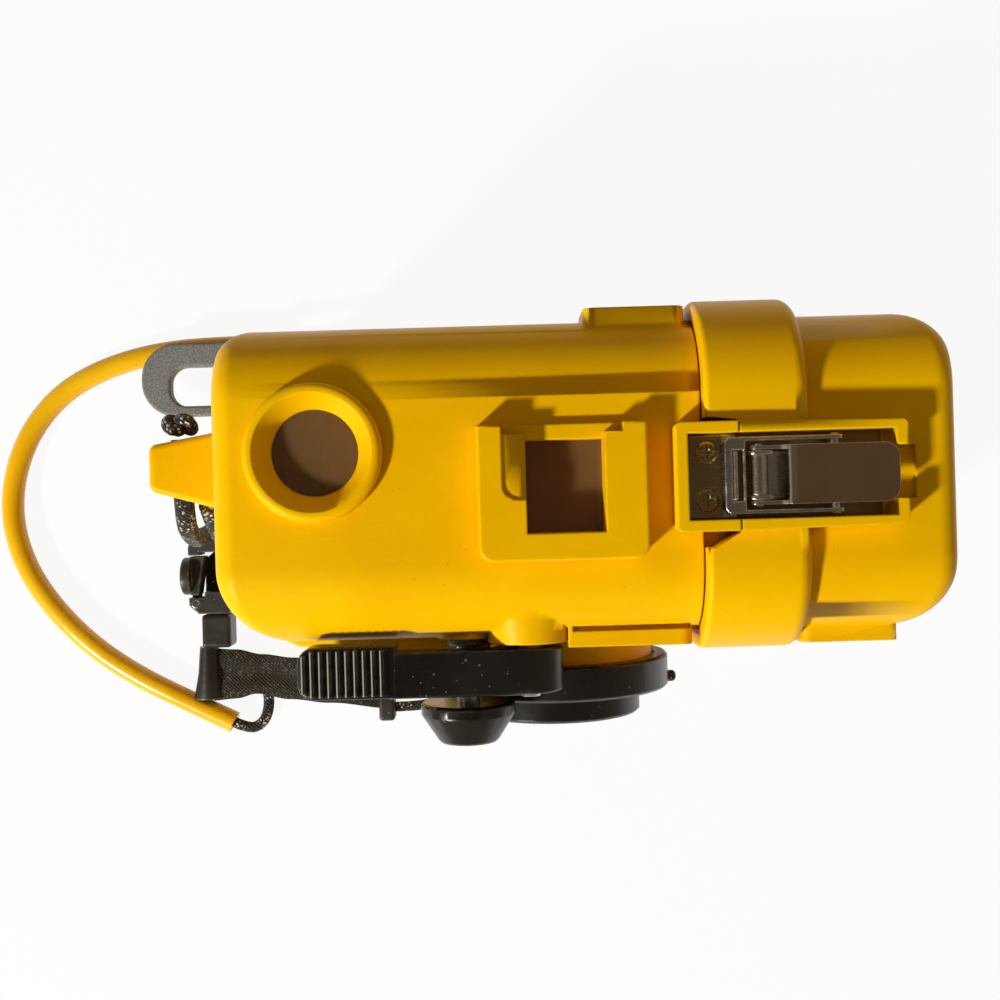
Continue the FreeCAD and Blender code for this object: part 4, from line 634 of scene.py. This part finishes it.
colour = mixed(tree, worn.outputs["Scratch"], colour, tray_scratches)
link(tree, colour, shader.inputs["Base Color"], smeared(tree, worn, 0.3, 0.5), shader.inputs["Roughness"],
     edge.outputs["Normal"], shader.inputs["Normal"])
tray.data.materials.append(tray_metal)
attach(tray, "cap")

# The latch's lever: the same sheet, and its broad upward-facing top carries a painted reflection, coloured as a
# dark brown mirror.
# The folded lip, the sides and every edge are rubbed bright, and the edges carry a painted highlight as well.
bright_shades = ((0.5, 0.46, 0.4, 1), (0.75, 0.72, 0.66, 1))
painted_top_reflection_shades = ((0.46, 0.29, 0.17, 1), (0.72, 0.47, 0.29, 1))
rubbed_and_lit_edges = (0.8, 0.78, 0.74, 1)
lever_marks = (0.36, 0.32, 0.28, 1)
facing_up = (0.7, 0.95)
broad_part = (0.0408, 0.0416)
lever_steel, tree, shader = new_material("lever_steel_finish", (0.05, 0.035, 0.025, 1), 0.14)
shader.inputs["Metallic"].default_value = 1
edge = placed(tree, soft_edge, Radius=0.0003, Wear=0.0007)
worn = placed(tree, use, Specks=0.7, Scratches=1.0)
facing = tree.nodes.new("ShaderNodeNewGeometry")
split = tree.nodes.new("ShaderNodeSeparateXYZ")
link(tree, facing.outputs["Normal"], split.inputs[0])
# Painted reflection: the surfaces on the broad part that face up are coloured dark brown.
painted_top_reflection = maths(tree, "MULTIPLY", spread(tree, split.outputs["Z"], *facing_up),
                  spread(tree, split_spot(tree)["X"], *broad_part))
colour = mixed(tree, worn.outputs["Film"], *bright_shades)
colour = mixed(tree, painted_top_reflection, colour, mixed(tree, worn.outputs["Film"], *painted_top_reflection_shades))
# Part wear, part painted highlight: the edges are coloured pale steel.
colour = mixed(tree, edge.outputs["Mask"], colour, rubbed_and_lit_edges)
marks = maths(tree, "MAXIMUM", worn.outputs["Scratch"], worn.outputs["Speck"])
colour = mixed(tree, marks, colour, lever_marks)
link(tree, colour, shader.inputs["Base Color"], smeared(tree, worn, 0.08, 0.24), shader.inputs["Roughness"])
skinned(tree, shader, worn.outputs["Peel"], 0.000012, edge.outputs["Normal"])
skin("latch_lever", lever_steel)

# Rubber: the four seals in their grooves, and the pads that the camera rests on.
# Soft, matt and nearly black, with pale dust where they are exposed.
rubber_shades = (srgb(16, 16, 16), srgb(44, 42, 40))
rubber_dust = srgb(120, 114, 104)
rubber, tree, shader = new_material("rubber", srgb(24, 24, 24), 0.72)
edge = placed(tree, soft_edge, Radius=0.0004)
worn = placed(tree, use, Specks=0.6)
colour = mixed(tree, worn.outputs["Film"], *rubber_shades)
link(tree, mixed(tree, worn.outputs["Speck"], colour, rubber_dust), shader.inputs["Base Color"],
     spread(tree, worn.outputs["Film"], 0.3, 0.7, 0.6, 0.82), shader.inputs["Roughness"])
skinned(tree, shader, worn.outputs["Peel"], 0.00004, edge.outputs["Normal"])
for name in ("door_seal", "port_seal", "shutter_seal", "control_seal", "cradle_pads"):
    skin(name, rubber)

# The tripod bushing: turned brass, moulded into the base.
# It is dull in its bore and bright round its rim.
brass_shades = ((0.42, 0.28, 0.11, 1), (0.75, 0.55, 0.26, 1))
bright_brass = (0.9, 0.74, 0.42, 1)
brass, tree, shader = new_material("brass", (0.66, 0.47, 0.2, 1), 0.3)
shader.inputs["Metallic"].default_value = 1
edge = placed(tree, soft_edge, Radius=0.0003, Wear=0.0006)
worn = placed(tree, use)
colour = mixed(tree, worn.outputs["Film"], *brass_shades)
link(tree, mixed(tree, edge.outputs["Mask"], colour, bright_brass), shader.inputs["Base Color"],
     spread(tree, worn.outputs["Film"], 0.3, 0.7, 0.2, 0.45), shader.inputs["Roughness"])
skinned(tree, shader, worn.outputs["Peel"], 0.00001, edge.outputs["Normal"])
skin("tripod_bushing", brass)

# Grey mouldings: the two shaft glands, pressed into the housing, and the lanyard's ring.
# Matt nylon with a pebbled grain, dust in the grain and paler edges.
grey_shades = (srgb(92, 94, 95), srgb(142, 144, 143))
grey_film = srgb(104, 104, 102)
grey_edges = srgb(160, 161, 160)
grain_dust = srgb(196, 194, 188)
pebble_waves = 2300
grey, tree, shader = new_material("grey_plastic", srgb(122, 124, 124), 0.6)
edge = placed(tree, soft_edge, Radius=0.0009, Wear=0.0012)
worn = placed(tree, use, Specks=0.8, Scratches=0.4)
pebble = noise(tree, spot_on(tree), pebble_waves, 2)
colour = mixed(tree, spread(tree, pebble, 0.35, 0.65), *grey_shades)
colour = mixed(tree, spread(tree, worn.outputs["Film"], 0.35, 0.8, 0, 0.5), colour, grey_film)
colour = mixed(tree, edge.outputs["Mask"], colour, grey_edges)
link(tree, mixed(tree, worn.outputs["Speck"], colour, grain_dust), shader.inputs["Base Color"],
     spread(tree, pebble, 0.3, 0.7, 0.45, 0.7), shader.inputs["Roughness"])
skinned(tree, shader, pebble, 0.00008, edge.outputs["Normal"])
for name in ("shutter_gland", "control_gland"):
    skin(name, grey)

# The ring at the lanyard's rear: a flat loop of the same grey nylon with rounded edges.
# The thin cord is tied to it.
ring = skin("lanyard_ring", grey, 50)
alone(ring)
bpy.ops.object.mode_set(mode="EDIT")
bpy.ops.mesh.select_all(action="SELECT")
bpy.ops.mesh.dissolve_limited(angle_limit=math.radians(1))
bpy.ops.object.mode_set(mode="OBJECT")
softened(ring, 0.0011, segments=4, sharp=50, smooth=40)

# The snap hook: a frame with a sprung gate and its round thumb disc, a swivel block under it, and the
# ferrule crimped on the strap's far end. All are moulded in charcoal plastic with rubbed corners.
charcoal_shades = (srgb(24, 23, 20), srgb(64, 61, 54))
charcoal_edges = srgb(150, 148, 142)
charcoal_dust = srgb(176, 172, 164)
swivel_middle = (-0.0942, -0.03825)
swivel_half_length = 0.0046
swivel_share = 0.82
swivel_waist = 0.05
thumb_disc = (-0.1035, -0.0278)
thumb_disc_shift = 0.0016
charcoal, tree, shader = new_material("charcoal_plastic", srgb(46, 45, 42), 0.4)
edge = placed(tree, soft_edge, Radius=0.0006, Wear=0.0011)
worn = placed(tree, use, Specks=1.0, Scratches=0.8)
colour = mixed(tree, spread(tree, worn.outputs["Film"], 0.3, 0.75), *charcoal_shades)
colour = mixed(tree, maths(tree, "MULTIPLY", edge.outputs["Mask"], 0.8), colour, charcoal_edges)
colour = mixed(tree, worn.outputs["Speck"], colour, charcoal_dust)
link(tree, colour, shader.inputs["Base Color"], smeared(tree, worn, 0.3, 0.55), shader.inputs["Roughness"])
skinned(tree, shader, worn.outputs["Peel"], 0.00005, edge.outputs["Normal"])
hook = skin("snap_hook_body", charcoal)
gate = skin("snap_hook_gate", charcoal)
swivel = skin("swivel_block", charcoal)
ferrule = skin("strap_ferrule", charcoal)
for vert in swivel.data.vertices:
    waist = 1 - ((vert.co.y - swivel_middle[1]) / swivel_half_length) ** 2
    width = (vert.co.x - swivel_middle[0]) * (swivel_share - swivel_waist * waist)
    vert.co.x = swivel_middle[0] + width
for vert in gate.data.vertices:
    if vert.co.x > thumb_disc[0] and vert.co.y > thumb_disc[1]:
        vert.co.x += thumb_disc_shift
for piece, width in ((hook, 0.0009), (gate, 0.0005), (ferrule, 0.0008)):
    softened(piece, width)

# The hook's back web: a thin tongue of the same moulding that closes the frame from below.
# It tapers to a point towards the cord, and the gate swings over it on its steel pin.
tongue_line = (
    (-0.0962, -0.0162), (-0.1002, -0.0164), (-0.1028, -0.0186), (-0.103, -0.0288), (-0.1, -0.032),
    (-0.0955, -0.0316),
)
tongue_low = 0.00025
tongue_rise = 0.0006
tongue = slab("hook_tongue", tongue_line, tongue_low, tongue_rise)
softened(tongue, 0.0002)
tongue.data.materials.append(charcoal)
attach(tongue, "housing")
hook_pin = skin("snap_hook_pin", steel)

# The braid of the cords and the weave of the webbing: black nylon in two crossing lays of thread.
# Pale flecks show where sand and lint are caught in it.
braid_shades = (srgb(14, 14, 13), srgb(40, 39, 36), srgb(214, 210, 200))
tape_shades = (srgb(20, 18, 9), srgb(44, 39, 24), srgb(84, 79, 62))
lint_count = 1150
lint_patches = 260
weave, given, result = effect("weave", {"Pitch": 900.0}, ("Height", "Fleck"))
place_on = spot_on(weave)
strands = []
for lean in (0.8, -0.8):
    lay = weave.nodes.new("ShaderNodeMapping")
    lay.inputs["Rotation"].default_value = (lean, lean * 0.6, lean)
    band = weave.nodes.new("ShaderNodeTexWave")
    band.inputs["Distortion"].default_value = 1.5
    band.inputs["Detail"].default_value = 1
    link(weave, place_on, lay.inputs["Vector"], lay.outputs[0], band.inputs["Vector"],
         given.outputs["Pitch"], band.inputs["Scale"])
    strands.append(band.outputs["Fac"])
link(weave, maths(weave, "MULTIPLY", strands[0], strands[1]), result.inputs["Height"])
lint = weave.nodes.new("ShaderNodeTexVoronoi")
lint.inputs["Scale"].default_value = lint_count
link(weave, place_on, lint.inputs["Vector"])
caught = maths(weave, "MULTIPLY", spread(weave, lint.outputs["Distance"], 0.46, 0.24),
               spread(weave, noise(weave, place_on, lint_patches, 3), 0.44, 0.56))
link(weave, caught, result.inputs["Fleck"])


def cloth_material(name, shades, pitch, depth):
    """Nylon, braided or woven, in a dark and a light tone, with flecks in a third."""
    dark, light, fleck = shades
    made, made_tree, finish = new_material(name, dark, 0.85)
    threads = placed(made_tree, weave, Pitch=pitch)
    tint = mixed(made_tree, threads.outputs["Height"], dark, light)
    link(made_tree, mixed(made_tree, threads.outputs["Fleck"], tint, fleck), finish.inputs["Base Color"],
         spread(made_tree, threads.outputs["Height"], 0, 1, 0.92, 0.7), finish.inputs["Roughness"])
    finish.inputs["Sheen Weight"].default_value = 0.25
    soft_normal = placed(made_tree, soft_edge, Radius=0.0003)
    skinned(made_tree, finish, threads.outputs["Height"], depth, soft_normal.outputs["Normal"])
    return made


braid = cloth_material("braided_cord", braid_shades, 430.0, 0.0004)
tape = cloth_material("nylon_tape", tape_shades, 520.0, 0.0003)
for piece in (lug_cord, cord_front, cord_rear, leash):
    piece.data.materials.append(braid)

# The two knots, tied in the cords themselves: an overhand knot in the lug cord behind the lug, and a
# smaller one where the thin cord is tied to the ring.
knot_points = 36
knot_depth = -1.15


def tied_knot(name, node_name, centre, reach, thickness):
    """An overhand knot pulled tight: one closed cord that passes through itself three times."""
    curve = bpy.data.curves.new(name, "CURVE")
    curve.dimensions = "3D"
    curve.bevel_depth = 1
    curve.bevel_resolution = 5
    curve.resolution_u = 3
    spline = curve.splines.new("NURBS")
    spline.points.add(knot_points - 1)
    for i, point in enumerate(spline.points):
        turn = 2 * math.pi * i / knot_points
        x = math.sin(turn) + 2 * math.sin(2 * turn)
        y = math.cos(turn) - 2 * math.cos(2 * turn)
        z = knot_depth * math.sin(3 * turn)
        point.co = (centre[0] + x * reach / 3, centre[1] + z * reach / 3, centre[2] + y * reach / 3, 1)
        point.radius = thickness / 2
    spline.order_u = 4
    spline.use_cyclic_u = True
    made = bpy.data.objects.new(name, curve)
    scene.collection.objects.link(made)
    made.data.materials.append(braid)
    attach(made, "housing")
    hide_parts(node_name)
    return made


lug_knot = tied_knot("knot_lug", "lug_knot", (-0.091, 0.0148, 0.068), 0.0031, 0.0028)
ring_knot = tied_knot("knot_ring", "lanyard_knot", (-0.0895, 0.0364, 0.0139), 0.0022, 0.0019)

# The lug cord is doubled: its second leg, of the same braid, comes from under the lug and goes down
# the housing's end to the hook.
second_leg = cord_curve("cord_lug_second", [
    (-0.0862, -0.0035, 0.064), (-0.0862, -0.0085, 0.058), (-0.0868, -0.0125, 0.045), (-0.0885, -0.014, 0.028),
    (-0.0925, -0.0135, 0.012), (-0.0965, -0.0125, 0.006),
], lug_cord_width)
second_leg.data.materials.append(braid)
alone(second_leg)
bpy.ops.object.convert(target="MESH")
second_leg = bpy.context.object
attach(second_leg, "housing")

# The strap end: the webbing's end folded round the swivel's bar into a stiff roll, open at its front.
# It widens towards the open end, which shows dark inside.
roll_middle = (-0.1014, -0.0502, 0.0046)
roll_radius = 0.0026
roll_length = 0.0146
roll_rear = -0.0429
roll_wall = 0.0009
roll_hole = 0.0075
bpy.ops.object.select_all(action="DESELECT")
bpy.ops.mesh.primitive_cylinder_add(vertices=32, radius=roll_radius, depth=roll_length,
                                    end_fill_type="NGON", location=roll_middle,
                                    rotation=(math.radians(90), 0, 0))
roll = bpy.context.object
roll.name = "strap_end_roll"
bpy.ops.object.transform_apply(location=True, rotation=True, scale=True)
bpy.ops.object.mode_set(mode="EDIT")
edit = bmesh.from_edit_mesh(roll.data)
for face in edit.faces:
    face.select = face.normal.y < -0.9
bpy.ops.mesh.inset(thickness=roll_wall)
bpy.ops.mesh.extrude_region_move(TRANSFORM_OT_translate={"value": (0, roll_hole, 0)})
bpy.ops.mesh.select_all(action="SELECT")
bpy.ops.mesh.subdivide(number_cuts=1)
edit = bmesh.from_edit_mesh(roll.data)
for vert in edit.verts:
    forward = max(0.0, min(1.0, (roll_rear - vert.co.y) / roll_length))
    flare = 1 + 0.55 * forward ** 2
    tall = (1.35 - 0.35 * forward) * (1 + 0.1 * forward)
    vert.co.x = roll_middle[0] + (vert.co.x - roll_middle[0]) * flare - 0.0006 * forward
    vert.co.z = roll_middle[2] + (vert.co.z - roll_middle[2]) * tall
bmesh.update_edit_mesh(roll.data)
bpy.ops.mesh.select_all(action="SELECT")
bpy.ops.mesh.normals_make_consistent(inside=False)
bpy.ops.object.mode_set(mode="OBJECT")
bpy.ops.object.shade_smooth_by_angle(angle=math.radians(50))
roll.data.materials.append(charcoal)
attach(roll, "housing")
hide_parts("strap_end")

# The webbing strap: flat black tape, doubled and sewn, that runs from the roll under the lever to its
# ferrule. It waves a little along and across, and its long edges are rounded.
rear_edge = ((0, -0.0436), (0.13, -0.0441), (0.28, -0.0457), (0.47, -0.0468), (0.78, -0.0505), (1, -0.0572))
front_edge = ((0, -0.0579), (0.14, -0.0574), (0.24, -0.0563), (0.44, -0.0582), (0.67, -0.0594), (1, -0.0614))
strap_start = -0.1005
strap_length = 0.0483
strap_level = 0.0042
tape_thickness = 0.0014
tape_edge = 0.0005
bpy.ops.object.select_all(action="DESELECT")
bpy.ops.mesh.primitive_grid_add(x_subdivisions=44, y_subdivisions=12, size=1, location=(0, 0, 0))
strap = bpy.context.object
strap.name = "webbing_tape"


def along_line(line, share):
    """A place on a line of a few points, eased between them."""
    for (start, first), (end, second) in zip(line, line[1:]):
        if share <= end:
            part = (share - start) / (end - start)
            return first + (second - first) * part * part * (3 - 2 * part)
    return line[-1][1]


for vert in strap.data.vertices:
    along = vert.co.x + 0.5
    across = vert.co.y + 0.5
    rear = along_line(rear_edge, along)
    front = along_line(front_edge, along)
    long_wave = 0.0004 * math.sin(along * 11 + across * 1.5)
    cross_wave = 0.0005 * math.sin(across * 9.5) * (1 - along * 0.5)
    lift = long_wave + cross_wave
    vert.co = (strap_start + along * strap_length, front + (rear - front) * across, strap_level + lift)
alone(strap)
thick = strap.modifiers.new("thick", "SOLIDIFY")
thick.thickness = tape_thickness
thick.offset = 0
rim = strap.modifiers.new("rim", "BEVEL")
rim.width = tape_edge
rim.segments = 3
rim.limit_method = "ANGLE"
for modifier in (thick, rim):
    bpy.ops.object.modifier_apply(modifier=modifier.name)
bpy.ops.object.shade_smooth_by_angle(angle=math.radians(50))
strap.data.materials.append(tape)
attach(strap, "housing")
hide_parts("webbing_strap")
